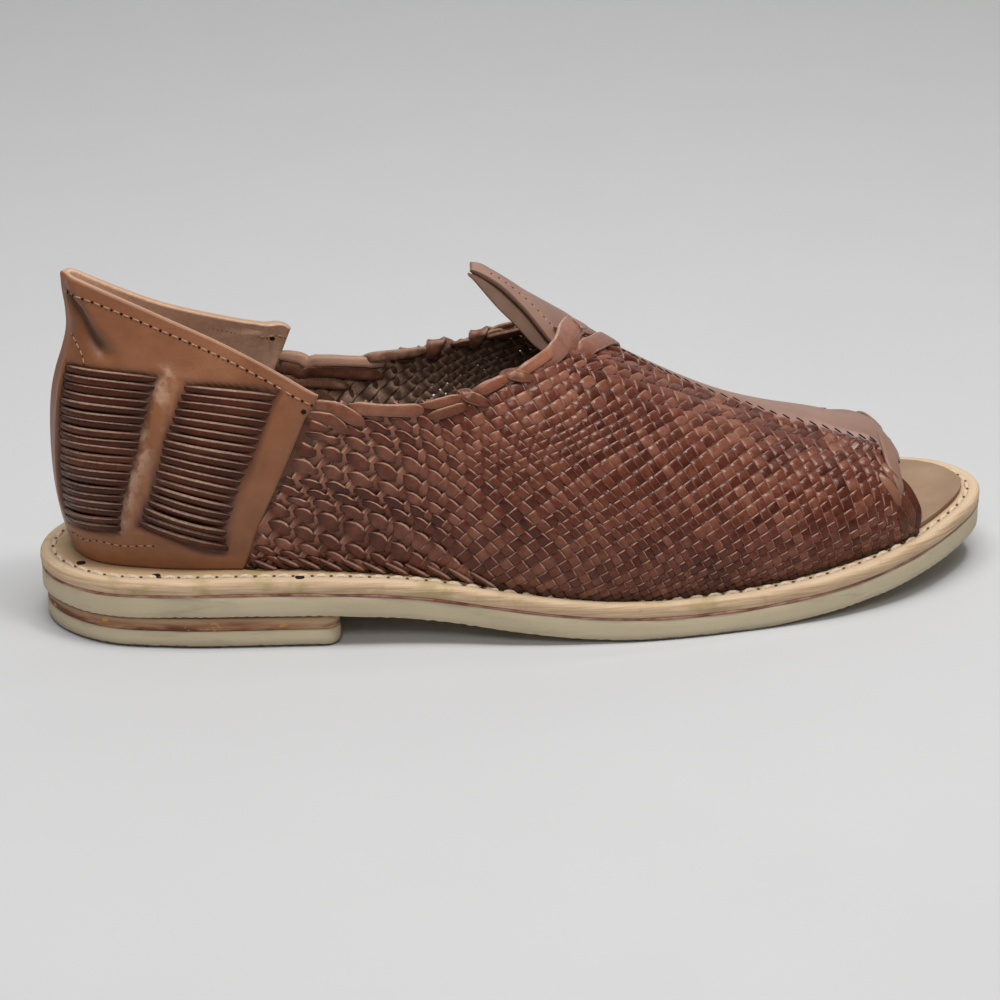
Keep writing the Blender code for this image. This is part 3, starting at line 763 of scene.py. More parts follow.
# ------------------------------------------------------------------ the heel counter
# One stiff piece of smooth brown leather round the heel, seamed at the back. Its flesh side
# lines the shoe. Two columns of it are cut for laces, which leave smooth bands between them.

COUNTER_THICKNESS = 2.1
RIB_STEP = 12.0


def near_path(at, path, width):
    """How close points are to a path: 1 on it, and next to 0 a width away."""
    nearest = np.full(at.shape[:-1], 1e9)
    for start, end in zip(np.array(path[:-1], float), np.array(path[1:], float)):
        along = end - start
        share = np.clip(((at - start) @ along) / (along @ along), 0, 1)
        away = at - start - share[..., None] * along
        nearest = np.minimum(nearest, np.linalg.norm(away, axis=-1))
    return np.exp(-((nearest / width) ** 2))


def step(value, low, high):
    """A smooth step from 0 at low to 1 at high."""
    t = np.clip((np.asarray(value, float) - low) / (high - low), 0, 1)
    return t * t * (3 - 2 * t)


BACK_COLUMN = [(12, 0.9, 2.84), (26, 0.87, 2.97), (39, 0.9, 3.08), (62, 0.84, 3.17)]
FRONT_COLUMN = [(5, 3.05, 4.6), (15, 3.14, 4.48), (27, 3.31, 4.48), (44, 3.39, 4.52), (60, 3.53, 4.56)]
COLUMNS = [columns("height start end", rows) for rows in (BACK_COLUMN, FRONT_COLUMN)]
COLUMN_REACH = ((11.3, 62.6), (5.4, 60.4))


def inside_column(column, rib, height, soft):
    """1 inside a woven column of the counter and 0 outside it, with an edge this soft."""
    table, (low, high) = COLUMNS[column], COLUMN_REACH[column]
    start = np.interp(height, table["height"], table["start"])
    end = np.interp(height, table["height"], table["end"])
    low = low + (9.0 * step(-rib, -4.5, -3.1) if column else 0)
    across = np.minimum(rib - start, end - rib) * RIB_STEP
    upward = np.minimum(height - low, high - height)
    return step(np.minimum(across, upward), -soft / 2, soft / 2)


def counter_relief(rib, height):
    """How far the counter's face stands off the wall, in millimetres."""
    lift = np.full(rib.shape, 0.8)
    at = np.stack([rib * RIB_STEP, height], axis=-1)
    lift -= 1.6 * near_path(at, [(9, 82), (14.5, 79), (21, 72), (25, 68)], 2.2)
    lift += 0.5 * near_path(at, [(10, 87), (20, 76), (27, 70)], 2.6)
    for column in (0, 1):
        table = COLUMNS[column]
        lift -= 1.0 * inside_column(column, rib, height, 2.0)
        for key in ("start", "end"):
            edge = np.interp(height, table["height"], table[key])
            beside = np.exp(-(((rib - edge) * RIB_STEP / 2.2) ** 2))
            low, high = COLUMN_REACH[column]
            lift += 0.9 * beside * step(height, low, low + 8) * step(-height, -high - 5, -high + 3)
    lift += 0.3 * np.sin(rib * 2.1 + height / 19) * step(height, 30, 70)
    return lift


def rim_spacing(count, edge=0.012):
    """Shares from 0 to 1 with extra places close to both ends, where an edge is rounded."""
    inner = np.linspace(0, 1, count)[1:-1]
    return np.unique(np.r_[0, edge * 0.35, edge, inner, 1 - edge, 1 - edge * 0.35, 1])


EDGE_ROUNDING = 0.32


def shell(name, outer, inner, look, **values):
    """A closed sheet between two grids of points, with rounded cut edges."""
    rows, cols = outer.shape[:2]
    outer, inner = outer.copy(), inner.copy()
    thick = inner - outer
    border = np.zeros((rows, cols), bool)
    border[[0, -1]] = border[:, [0, -1]] = True
    next_in = np.zeros((rows, cols), bool)
    next_in[1:-1, 1:-1] = True
    next_in[2:-2, 2:-2] = False
    for ring, amount in ((border, EDGE_ROUNDING), (next_in, EDGE_ROUNDING * 0.25)):
        outer[ring] += amount * thick[ring]
        inner[ring] -= amount * thick[ring]
    number = np.arange(rows * cols).reshape(rows, cols)
    under = number + rows * cols
    faces = []
    for row in range(rows - 1):
        for col in range(cols - 1):
            a, b = number[row, col], number[row, col + 1]
            c, d = number[row + 1, col + 1], number[row + 1, col]
            faces.append((a, b, c, d))
            faces.append(tuple(under.ravel()[[d, c, b, a]]))
    ring = np.r_[number[0], number[1:, -1], number[-1, -2::-1], number[-2:0:-1, 0]]
    for here, there in zip(ring, np.roll(ring, -1)):
        faces.append((there, here, here + rows * cols, there + rows * cols))
    points = np.concatenate([outer.reshape(-1, 3), inner.reshape(-1, 3)])
    layers = {key: np.tile(np.ravel(column), 2) for key, column in values.items()}
    layers["flesh"] = np.repeat([0, 1], rows * cols)
    layers["cut"] = np.tile(border.ravel(), 2)
    return mesh_piece(name, points, faces, look, layers, merge=0.001)


def counter_finish():
    look = Finish("woven_leather_counter", Specular_IOR_Level=0.4)
    cloud = look.noise(22, 4, 0.6)
    pores = look.noise(0.8, 3, 0.7)
    wrinkle = look.noise(3.2, 3, 0.6, look.stretched((0.5, 0.5, 1.3)))
    grain = [(0.28, (0.19, 0.066, 0.026)), (0.5, (0.26, 0.1, 0.043)), (0.75, (0.33, 0.14, 0.064))]
    grain = look.ramp(cloud, *grain)
    shaded = look.mix(look.attribute("shade"), grain, (0.035, 0.01, 0.005))
    # A painted highlight: pale patches down the band between the columns, broken up by noise.
    lightened = look.noise(5, 3, 0.6).between(0.42, 0.64)
    highlighted = look.mix(look.attribute("shine") * lightened * 0.6, shaded, (0.6, 0.4, 0.28))
    fuzz = look.noise(1.6, 4, 0.75)
    flesh_tone = look.ramp(fuzz, (0.3, (0.64, 0.38, 0.25)), (0.7, (0.84, 0.54, 0.37)))
    lining = look.mix(cloud.between(0.5, 0.75) * 0.4, flesh_tone, (0.36, 0.21, 0.125))
    sides = look.mix(look.attribute("flesh").between(0.45, 0.55), highlighted, lining)
    edge = look.mix(look.attribute("cut").between(0.3, 0.9), sides, (0.42, 0.26, 0.16))
    dull = look.attribute("flesh") * 0.3
    look.set(Base_Color=edge, Roughness=cloud * 0.25 + 0.27 + dull)
    look.bump(pores * 0.4 + wrinkle * 0.6, 0.16)
    return look.material


COUNTER_LEATHER = counter_finish()
signed = np.unique(np.r_[-rim_spacing(61, 0.008), rim_spacing(61, 0.008)])
parts = rim_spacing(90)
grid_part = np.broadcast_to(parts[:, None], (len(parts), len(signed)))
front = 4.9 + 0.07 * step(-grid_part, -0.25, -0.03) + 0.05 * step(grid_part, 0.85, 0.96)
front = np.where(signed > 0, np.maximum(front, 4.97), front)
grid_signed = signed * front
grid_rib = np.abs(grid_signed)
height = grid_part * np.where(grid_signed > 0, MEDIAL.height(grid_rib), LATERAL.height(grid_rib))


def heel_points(lift):
    """Points over the counter, from the front of its outer side round to the inner."""
    points = np.empty(lift.shape + (3,))
    for wall, mine in ((LATERAL, grid_signed <= 0), (MEDIAL, grid_signed > 0)):
        points[mine] = wall.at(grid_rib[mine], height[mine], lift[mine])[0]
    return points


relief = counter_relief(grid_rib, height)
at = np.stack([grid_rib * RIB_STEP, height], axis=-1)
shade = 0.8 * near_path(at, [(7, 83), (14.5, 79), (23, 70)], 1.9)
for column in (0, 1):
    shade = np.maximum(shade, 0.85 * inside_column(column, grid_rib, height, 1.2))
# A painted highlight down the smooth band between the two woven columns, kept out of the painted
# shade.
shine = near_path(at, [(39, 63), (38, 50), (37, 38), (34, 14)], 2.0) * (1 - shade)
counter = shell(
    "heel_counter",
    heel_points(relief),
    heel_points(relief.clip(0.5, 0.9) - COUNTER_THICKNESS),
    COUNTER_LEATHER,
    shade=shade,
    shine=shine,
)
ride(counter, "woven_leather", "upper")


# ------------------------------------------------------------------ laces through the counter
# About twenty short laces a column, cut from the same hide. Each leans out along its upper
# edge, where its pale cut side shows, and both its ends go in through a slit.

LACE_THICKNESS = 1.1
HALF_SECTION = [(0.9, -1), (1, -0.7), (1, 0.15), (0.95, 0.6), (0.84, 0.92), (0.35, 1.1)]


def edge_mesh(name, runs):
    """A helper mesh of open runs of points, with the runs' values at their points."""
    mesh = bpy.data.meshes.new(name)
    edges, first = [], 0
    for run in runs:
        count = len(run["points"])
        edges += [(first + i, first + i + 1) for i in range(count - 1)]
        first += count
    points = np.concatenate([run["points"] for run in runs])
    mesh.from_pydata(place(points).tolist(), edges, [])
    for key in runs[0]:
        if key != "points":
            store(mesh, key, np.concatenate([at_each_point(run, run[key]) for run in runs]))
    return bpy.data.objects.new(name, mesh)


def at_each_point(run, value):
    """A run's value, spread over its points if it is one for the whole run."""
    if np.ndim(value) == 0:
        return np.full(len(run["points"]), value)
    return np.broadcast_to(value, run["points"].shape[:1] + np.shape(value)[1:])


def section_mesh(name, section):
    """A closed outline whose points know how far across and how far up they lie."""
    mesh = bpy.data.meshes.new(name)
    count = len(section)
    flat = [(across * MM, up * MM, 0) for across, up in section]
    mesh.from_pydata(flat, [(i, (i + 1) % count) for i in range(count)], [])
    for key, column in zip(("across", "up"), zip(*section)):
        store(mesh, key, column)
    return bpy.data.objects.new(name, mesh)


def named(nodes, name, kind="FLOAT_VECTOR"):
    return nodes.add("GeometryNodeInputNamedAttribute", {"data_type": kind}, {0: name})


def vector(nodes, operation, first, second):
    socket = 3 if operation == "SCALE" else 1
    return nodes.add("ShaderNodeVectorMath", {"operation": operation}, {0: first, socket: second})


def making_group(name, kinds, make):
    """A node group that makes a shape from a helper mesh, and the names of its inputs."""
    tree = bpy.data.node_groups.new(name, "GeometryNodeTree")
    for way in ("INPUT", "OUTPUT"):
        tree.interface.new_socket("Geometry", in_out=way, socket_type="NodeSocketGeometry")
    inputs = {}
    for key, kind in {**kinds, "Look": "Material"}.items():
        kind = "NodeSocket" + kind
        inputs[key] = tree.interface.new_socket(key, in_out="INPUT", socket_type=kind).identifier
    nodes = Nodes(tree)
    given = tree.nodes.new("NodeGroupInput")
    given = {key: Value(nodes, given.outputs[key]) for key in ("Geometry", *inputs)}
    made = nodes.add("GeometryNodeRealizeInstances", None, {"Geometry": make(nodes, given)})
    sockets = {"Geometry": made, "Material": given["Look"]}
    made = nodes.add("GeometryNodeSetMaterial", None, sockets)
    nodes.add("NodeGroupOutput", None, {"Geometry": made})
    return tree, inputs


def sweep(nodes, given):
    """Sweeps a section along each run, with its own width and facing at every point."""
    runs = nodes.add("GeometryNodeMeshToCurve", None, {"Mesh": given["Geometry"]})
    sockets = {"Geometry": runs, "Name": "centre", "Value": nodes.add("GeometryNodeInputPosition")}
    runs = nodes.add("GeometryNodeStoreNamedAttribute", {"data_type": "FLOAT_VECTOR"}, sockets)
    section = nodes.add("GeometryNodeObjectInfo", None, {"Object": given["Section"]}, out=4)
    section = nodes.add("GeometryNodeMeshToCurve", None, {"Mesh": section})
    sockets = {"Curve": runs, "Profile Curve": section, "Fill Caps": True}
    swept = nodes.add("GeometryNodeCurveToMesh", None, sockets)
    reach = named(nodes, "across", "FLOAT") * named(nodes, "half_width", "FLOAT") * MM
    rise = named(nodes, "up", "FLOAT") * given["Half thickness"] * MM
    across = vector(nodes, "SCALE", named(nodes, "sideways"), reach)
    upward = vector(nodes, "SCALE", named(nodes, "outward"), rise)
    offset = vector(nodes, "ADD", across, upward)
    position = vector(nodes, "ADD", named(nodes, "centre"), offset)
    return nodes.add("GeometryNodeSetPosition", None, {"Geometry": swept, "Position": position})


def made_by(group, helper, name, **values):
    """Runs a node group on a helper, and keeps what it makes as a plain mesh piece."""
    tree, inputs = group
    bpy.context.scene.collection.objects.link(helper)
    modifier = helper.modifiers.new("making", "NODES")
    modifier.node_group = tree
    for key, value in values.items():
        modifier[inputs[key.replace("_", " ")]] = value
    graph = bpy.context.evaluated_depsgraph_get()
    mesh = bpy.data.meshes.new_from_object(helper.evaluated_get(graph))
    mesh.name = name
    bpy.data.objects.remove(helper)
    face_outwards(mesh)
    return in_scene(name, mesh)


LACE_GROUP = making_group("laces", {"Section": "Object", "Half thickness": "Float"}, sweep)
OTHER_HALF = [(-across, up) for across, up in HALF_SECTION]
LACE_PROFILE = section_mesh("lace_section", OTHER_HALF + HALF_SECTION[::-1])


def laces(name, runs, look, thickness=LACE_THICKNESS):
    """A piece of laces, one to a run."""
    values = {"Section": LACE_PROFILE, "Half_thickness": thickness / 2, "Look": look}
    return made_by(LACE_GROUP, edge_mesh(name + "_runs", runs), name, **values)


def run_along(points, outward, half_width, tone=0.5, turn=0.0, shade=0.0):
    """One lace: its centre line, its facing and its width, as point values."""
    ahead = unit(np.gradient(points, axis=0))
    outward = unit(outward - (outward * ahead).sum(axis=1, keepdims=True) * ahead)
    sideways = np.cross(ahead, outward)
    sideways = sideways * np.sign(sideways[:, 2].mean())
    run = {"points": points, "half_width": half_width, "tone": tone, "shade": shade}
    run["sideways"] = np.cos(turn) * sideways + np.sin(turn) * outward
    run["outward"] = np.cos(turn) * outward - np.sin(turn) * sideways
    return run


def woven_finish(name, dark, middle, light, pale, gloss=0.42):
    """Glossy leather of three depths, with pale cut sides and a rough flesh side."""
    look = Finish(name, Specular_IOR_Level=gloss, Specular_Tint=(1, 0.8, 0.7, 1))
    across, up = look.attribute("across"), look.attribute("up")
    cloud = look.noise(17, 3, 0.6)
    blotch = look.noise(3.4, 3, 0.6)
    pores = look.noise(0.7, 3, 0.7)
    raw = look.noise(1.1, 3, 0.7)
    spread = look.attribute("tone") * 0.3 + cloud * 0.45 + blotch * 0.35
    grain = look.ramp(spread, (0.33, dark), (0.56, middle), (0.82, light))
    upper_side = (across + raw * 0.12).between(0.87, 0.97)
    lower_side = (across * -1 + raw * 0.12).between(0.88, 0.98) * 0.7
    side = (upper_side + lower_side) * up.between(-1.0, -0.75)
    cut = look.mix(raw.between(0.3, 0.7), tuple(0.6 * value for value in pale), pale)
    side = side * (1 - look.attribute("shade").between(0.12, 0.5) * 0.7)
    edged = look.mix(side * 0.85, grain, cut)
    flesh = look.ramp(raw, (0.3, (0.32, 0.19, 0.13)), (0.7, (0.6, 0.39, 0.27)))
    under = 1 - up.between(-1.0, -0.75)
    coloured = look.mix(under * (1 - side), edged, flesh)
    look.set(Base_Color=look.mix(look.attribute("shade"), coloured, (0.014, 0.004, 0.002)))
    look.set(Roughness=blotch * 0.35 + 0.1 + side * 0.3)
    look.bump(pores * 0.5 + blotch * 0.5, 0.12)
    return look.material


DEPTHS = [(0.032, 0.005, 0.002), (0.075, 0.016, 0.007), (0.16, 0.05, 0.024)]
COUNTER_LACE_LEATHER = woven_finish("counter_lace_leather", *DEPTHS, (0.38, 0.25, 0.18), 0.28)
LACE_COUNTS = (20, 19)
LEFT_ENDS, RIGHT_ENDS = ((12, 62), (15.5, 60)), ((12.6, 62), (6, 59))


def counter_laces(wall, rng):
    """Both columns on one side of the counter, from the sole's margin up."""
    runs = []
    share = np.linspace(0, 1, 26)
    arch = np.sin(math.pi * share) ** 0.45
    for table, count, left, right in zip(COLUMNS, LACE_COUNTS, LEFT_ENDS, RIGHT_ENDS):
        for part in (np.arange(count) + 0.5) / count:
            ends = [low + (high - low) * part for low, high in (left, right)]
            start = np.interp(ends[0], table["height"], table["start"]) - 0.06
            end = np.interp(ends[1], table["height"], table["end"]) + 0.06
            bend = 0.25 * rng.normal() * np.sin(math.pi * share)
            height = ends[0] + (ends[1] - ends[0]) * share + bend
            lift = -0.65 + 1.85 * arch + 0.1 * rng.normal()
            points, outward = wall.at(start + (end - start) * share, height, lift)
            room = [(high - low) / count for low, high in (left, right)]
            pitch = room[0] * (1 - share) + room[1] * share
            half = 0.5 * pitch * (0.95 + 0.04 * rng.normal()) * (0.5 + 0.5 * arch)
            tip = (math.radians(21 + 5 * rng.normal()) * arch)[:, None]
            shade = 0.75 * (1 - arch) ** 0.8
            runs.append(run_along(points, outward, half, rng.uniform(0.1, 0.8), tip, shade))
    return runs


rng = np.random.default_rng(11)
for side, wall in WALLS.items():
    piece = laces(f"counter_laces_{side}", counter_laces(wall, rng), COUNTER_LACE_LEATHER)
    ride(piece, "woven_leather")


# ------------------------------------------------------------------ the woven laces
# Two families of narrow laces cut from the hide and glossed. One rises towards the toe and
# one falls towards it, and each passes over and under the other by turns.

DEPTHS = [(0.05, 0.008, 0.004), (0.125, 0.031, 0.017), (0.26, 0.1, 0.06)]
WOVEN_LEATHER = woven_finish("woven_leather", *DEPTHS, (0.46, 0.27, 0.195))
# Each row is a numbered lace: its number, and how far along the sole it is at each height.
WEAVE_HEIGHTS = np.array([0, 20, 40, 60, 80.0])
RISING = [
    (0, 56, 57, 59, 61, 63),
    (4, 72, 77, 88, 118, 150),
    (8.5, 92, 101, 119, 151, 178),
    (14.8, 114, 129, 150, 187, 208),
    (20.8, 136, 160, 195, 225, 250),
    (27.6, 166, 209, 252, 290, 325),
    (32.8, 196, 257, 310, 360, 410),
    (37.2, 228, 325, 410, 490, 570),
]
FALLING = [
    (0, 104, 28, -50, -130, -210),
    (3, 131, 88, -20, -130, -240),
    (7.6, 153, 132, 84, -5, -95),
    (11.1, 166, 152, 121, 58, 0),
    (14.9, 178, 166, 143, 112, 85),
    (19, 190, 178, 160, 143, 130),
    (24.3, 203, 192, 179, 167, 160),
    (29.8, 219, 209, 198, 189, 187),
    (35, 233, 226, 219, 213, 209),
    (39.8, 246, 241, 237, 234, 230),
    (43.9, 258, 255.5, 252, 249, 246),
    (46.6, 264.5, 262.5, 260.5, 260, 260),
    (48.8, 271, 268.5, 266, 265, 264),
]
WEAVE_START = 56.0
COVERED_END = 60.5
COUNTER_END = 64.5
COLLAR_END = 162.0
STRAPS_END = 98.0
INNER_SLITS_END = 205.0
FEWEST_PLACES = 12
SHORTEST_RUN = 3.5
RUN_STEP = 0.75
TOP_EDGES = (COVERED_END, 68, COLLAR_END)
TOP_MARGINS = (5, 1.7, 1.1)
PACKED = (90, 140)
TOE_HEIGHTS = (0, 8, 16, 24, 34, 44)
TOE_EDGES = {
    "outer": (270, 269.8, 267.4, 264, 262, 262),
    "inner": (270, 269.8, 266, 259, 252, 249),
}
LACE_SWING = 0.45
LACE_BASE = -0.35
WEAVE_THICKNESS = 0.85
LACE_WIDTHS = (1.8, 8.5)
CURL_START = {"outer": 98, "inner": 92}
LEAF_SLANT = 0.5


class Family:
    """Where each numbered lace of a family crosses each height of the wall."""

    def __init__(self, rows):
        table = np.array(rows, float)
        self.heights = np.linspace(-8, 104, 225)
        numbers = np.arange(-14, 60, 0.25)
        along = self.extend(numbers, table[:, 0], table[:, 1:])
        self.numbers = numbers
        self.feet = self.extend(self.heights, WEAVE_HEIGHTS, along.T).T
        self.feet = np.maximum.accumulate(self.feet, axis=0)

    @staticmethod
    def extend(at, xs, ys):
        """Reads a smooth curve, carried on in a straight line beyond its ends."""
        inside = smooth(at, xs, ys)
        for place_in, beyond in ((0, at < xs[0]), (-1, at > xs[-1])):
            next_in = 1 if place_in == 0 else -2
            slope = (ys[place_in] - ys[next_in]) / (xs[place_in] - xs[next_in])
            inside[beyond] = ys[place_in] + (at[beyond] - xs[place_in])[:, None] * slope
        return inside

    def foot(self, number, height):
        """How far along the sole a lace is at a height of the wall."""
        row = np.interp(number, self.numbers, np.arange(len(self.numbers)))
        low = np.clip(np.floor(row).astype(int), 0, len(self.numbers) - 2)
        share = row - low
        beside = [np.interp(height, self.heights, self.feet[row]) for row in (low, low + 1)]
        return (1 - share) * beside[0] + share * beside[1]

    def number(self, foot, height):
        """The family's number at places on the wall."""
        column = np.interp(height, self.heights, np.arange(len(self.heights)))
        low = np.clip(column.astype(int), 0, len(self.heights) - 2)
        found = []
        for place_in, part, x in zip(low, column - low, foot):
            feet = (1 - part) * self.feet[:, place_in] + part * self.feet[:, place_in + 1]
            found.append(np.interp(x, feet, self.numbers))
        return np.array(found)


RISES, FALLS = Family(RISING), Family(FALLING)
SLITS = columns(
    "x near far",
    [
        (164, 2.5, 16),
        (178, 3.5, 20),
        (196, 3.3, 24),
        (214, 3, 25),
        (222, 2, 25),
        (230, -1.5, 24),
        (240, -4.5, 20),
        (249, -8.4, 14),
        (255, -10.4, 9),
        (262, -13, 7),
        (268, -16, 4),
    ],
)
SOLE_SHADE = 3.0
CURL_RADIUS = 0.95
STRIP_TOP = 1.0


def top_of_weave(wall, foot):
    """The height at which the woven wall ends: the collar, or the slits in the strip."""
    rib = wall.rib_at(foot)
    points, _ = wall.at(rib, wall.height(rib))
    tops = wall.height(rib)
    for place_in, (number, x) in enumerate(zip(rib, points[:, 0])):
        if number > THROAT_RIB:
            edge = smooth(x, SLITS["x"], SLITS["near" if wall.side < 0 else "far"])[0]
            heights = np.linspace(0.4, 1.25, 90) * tops[place_in]
            across, _ = wall.at(np.full(90, number), heights)
            reach = wall.side * across[::-1, 1]
            tops[place_in] = np.interp(wall.side * edge, reach, heights[::-1])
    return tops


TOPS = {}
feet = np.linspace(55, 274, 220)
for side, wall in WALLS.items():
    TOPS[side] = (feet, top_of_weave(wall, np.maximum(feet, COUNTER_END)))


def curl_over(wall, rib):
    """The end of a lace that goes over the collar's edge and down inside the shoe."""
    turn = np.linspace(0, math.pi, 9)
    middle = wall.height(rib) - CURL_RADIUS - 0.3
    height = np.r_[middle + CURL_RADIUS * np.sin(turn), middle - 1.4, middle - 2.8]
    lifts = np.r_[-0.4 + CURL_RADIUS * np.cos(turn), -1.45, -1.6]
    points, normal = wall.at(np.full(len(height), rib), height, lifts)
    upward = unit(wall.at(rib, middle)[0] - wall.at(rib, middle - 1)[0])
    turn = np.r_[turn, math.pi, math.pi][:, None]
    return points, np.cos(turn) * normal + np.sin(turn) * upward


def stretches(number, mine, side):
    """The parts of a lace's path that lie on the wall, at even steps: how far along the sole
    it is, how far up, the length so far, and the height left above its end."""
    wall = WALLS[side]
    fine = np.arange(-1.2, 100, 0.1)
    foot = mine.foot(number, fine)
    top = np.interp(foot, *TOPS[side])
    inside = (foot > WEAVE_START) & (foot < np.interp(fine, TOE_HEIGHTS, TOE_EDGES[side]))
    inside &= fine < top - np.select([foot < edge for edge in TOP_EDGES], TOP_MARGINS)
    inside &= (foot > STRAPS_END) | (fine < top - 2.2) | (side == "outer")
    marks = np.flatnonzero(np.diff(np.r_[0, inside.astype(int), 0]))
    for begin, end in zip(marks[::2], marks[1::2]):
        along, up = foot[begin:end], fine[begin:end]
        run = run_length(wall.at(wall.rib_at(along), up)[0])
        if end - begin >= FEWEST_PLACES and run[-1] >= SHORTEST_RUN:
            even = np.linspace(0, run[-1], max(int(run[-1] / RUN_STEP), 5))
            to_top = top[end - 1] - up[-1]
            yield np.interp(even, run, along), np.interp(even, run, up), even, to_top


def weave(side, mine, others, parity, rng):
    """The laces of one family on one side of the shoe, and where they enter the strip."""
    wall, rising, outer = WALLS[side], mine is RISES, side == "outer"
    runs, ends = [], []
    for number in range(-12, 58):
        for along, up, even, to_top in stretches(number, mine, side):
            curls = rising and CURL_START[side] < along[-1] < COLLAR_END and to_top < 1.3
            to_strip = along[-1] > COLLAR_END + 1 and to_top < 0.3
            shows = outer or along[-1] < INNER_SLITS_END
            from_end = even[-1] - even
            rib = wall.rib_at(along)
            phase = others.number(along, up) - number - parity
            over = np.cos(np.pi * phase)
            packed = 1 - step(along, *PACKED)
            tucked = step(-along, -62, -60.2)

            # How far it stands off the wall, as it goes over and under the other family.
            favour = (1.4 * packed + 0.3 * step(along, 210, 245)) * (-1 if rising else 1)
            swing = np.sin(np.clip(1.5 * over + favour, -1, 1) * math.pi / 2)
            lift = LACE_BASE + LACE_SWING * (1 - 0.3 * step(along, 215, 245)) * swing
            lift -= 0.9 * np.exp(-((even / 1.5) ** 2))
            if to_strip:
                lift += (0.9 if shows else -0.5) * step(-from_end, -5, -2.2)
            if not curls:
                lift -= (1.3 if outer else 0.5) * np.exp(-((from_end / 1.1) ** 2))
            lift = (1 - tucked) * lift - 0.55 * tucked
            slant = LEAF_SLANT * packed * np.sin(np.pi * phase) * (not rising)
            points, outward = wall.at(rib, up - slant, lift)

            # How wide it is, out of the room between its neighbours.
            near, far = (wall.rib_at(mine.foot(number + half, up)) for half in (-0.5, 0.5))
            ahead = unit(np.gradient(wall.at(rib, up)[0], axis=0))
            gap = wall.at(far, up)[0] - wall.at(near, up)[0]
            gap = np.linalg.norm(gap - (gap * ahead).sum(axis=1, keepdims=True) * ahead, axis=1)
            share = (0.5 + 0.5 * over) ** (1 - 0.3 * packed)
            least = 0.93 - (0 if rising else 0.5 if outer else 0.1) * packed
            most = 0.99 - (0.05 if rising else 0.14) * packed
            half = 0.5 * gap.clip(*LACE_WIDTHS) * (least + (most - least) * share)
            half *= 1 + 0.03 * rng.normal()
            if not outer:
                open_weave = step(along, 112, 126) * step(-along, -164, -152) * step(up, 26, 36)
                half *= 1.06 - 0.42 * rng.uniform(0.1, 1) * open_weave

            # Where it lies in the dark, and how its end is finished.
            shade = 0.85 * (0.5 - 0.5 * over) ** 1.5 + 0.8 * step(-up, -SOLE_SHADE, 0)
            if to_strip:
                shade = np.maximum(shade, 0.6 * step(-from_end, -1.4, -0.3))
                slit, facing = wall.at(rib[-1], up[-1] + 0.7, STRIP_TOP + 0.05)
                if shows:
                    ends.append((slit[0], ahead[-1], facing[0]))
            shade = np.maximum(shade, 0.7 * step(-along, -61.3, -60.4)).clip(0, 1)
            tip = np.radians(8 * packed + 3 + 2 * rng.normal()) * (1 - tucked)
            if curls:
                more, facing = curl_over(wall, rib[-1])
                points = np.vstack([points[:-1], more])
                outward = np.vstack([outward[:-1], facing])
                half = np.r_[half[:-1], np.full(len(more), max(half[-1], 1.9))]
                shade = np.r_[shade[:-1], 0.1 + np.linspace(0, 0.5, len(more))]
                tip = np.r_[tip[:-1], np.zeros(len(more))]
            # Painted light: laces high up on the wall get a lighter tone, for the brighter top of the
            # weave.
            high_up = up.mean() / np.interp(along.mean(), *TOPS[side])
            tone = rng.uniform(0, 1) + 0.5 * step(high_up, 0.55, 1)
            tone += (0.9 if rising else 0.25) * packed.mean()
            runs.append(run_along(points, outward, half, tone, tip[:, None], shade))
    return runs, ends


STRIP_ENDS = {}
rng = np.random.default_rng(21)
for side in WALLS:
    for name, mine, others, parity in (("rising", RISES, FALLS, 0), ("falling", FALLS, RISES, 1)):
        runs, STRIP_ENDS[side, name] = weave(side, mine, others, parity, rng)
        piece = laces(f"woven_laces_{name}_{side}", runs, WOVEN_LEATHER, WEAVE_THICKNESS)
        ride(piece, "woven_leather")

# Short ends lie slanting over the weave's foot, behind the arch.
share = np.linspace(0, 1, 12)
for side, wall in WALLS.items():
    runs = []
    for start in np.arange(62.5, 128, 6.5):
        rise = 3.6 * (1 - share) + 0.3 * rng.normal()
        lift = 0.1 + 0.75 * np.sin(math.pi * share) ** 0.5
        points, outward = wall.at(wall.rib_at(start + 7.6 * share), rise.clip(0.1), lift)
        half = (0.95 + 0.1 * rng.normal()) * np.sin(math.pi * (0.1 + 0.8 * share)) ** 0.7
        shade = 0.45 * (1 - share)
        runs.append(run_along(points, outward, half, rng.uniform(0.1, 1), 0.4, shade))
    ride(laces(f"slanting_ends_{side}", runs, WOVEN_LEATHER, 0.9), "woven_leather")


# ------------------------------------------------------------------ the collar's laces
# Wider, warmer laces of the same hide run along the collar and hold the woven ends down.
# Three more bind the root of the tongue. A rim lace and short loops finish both sides of
# the toe opening.

DEPTHS = [(0.095, 0.026, 0.013), (0.205, 0.07, 0.037), (0.33, 0.14, 0.083)]
COLLAR_LEATHER = woven_finish("collar_leather", *DEPTHS, (0.42, 0.26, 0.18))
# Painted light: the laces inside the collar face away from the lamps, so their leather is a lighter
# copy of the collar's, with a pale top colour.
DEPTHS = [(0.09, 0.03, 0.017), (0.19, 0.085, 0.052), (0.64, 0.38, 0.27)]
INNER_LEATHER = woven_finish("inner_strap_leather", *DEPTHS, (0.3, 0.18, 0.12))
DEPTHS = [(0.16, 0.055, 0.032), (0.24, 0.1, 0.066), (0.33, 0.155, 0.11)]
ROOT_LEATHER = woven_finish("root_lace_leather", *DEPTHS, (0.5, 0.33, 0.26))


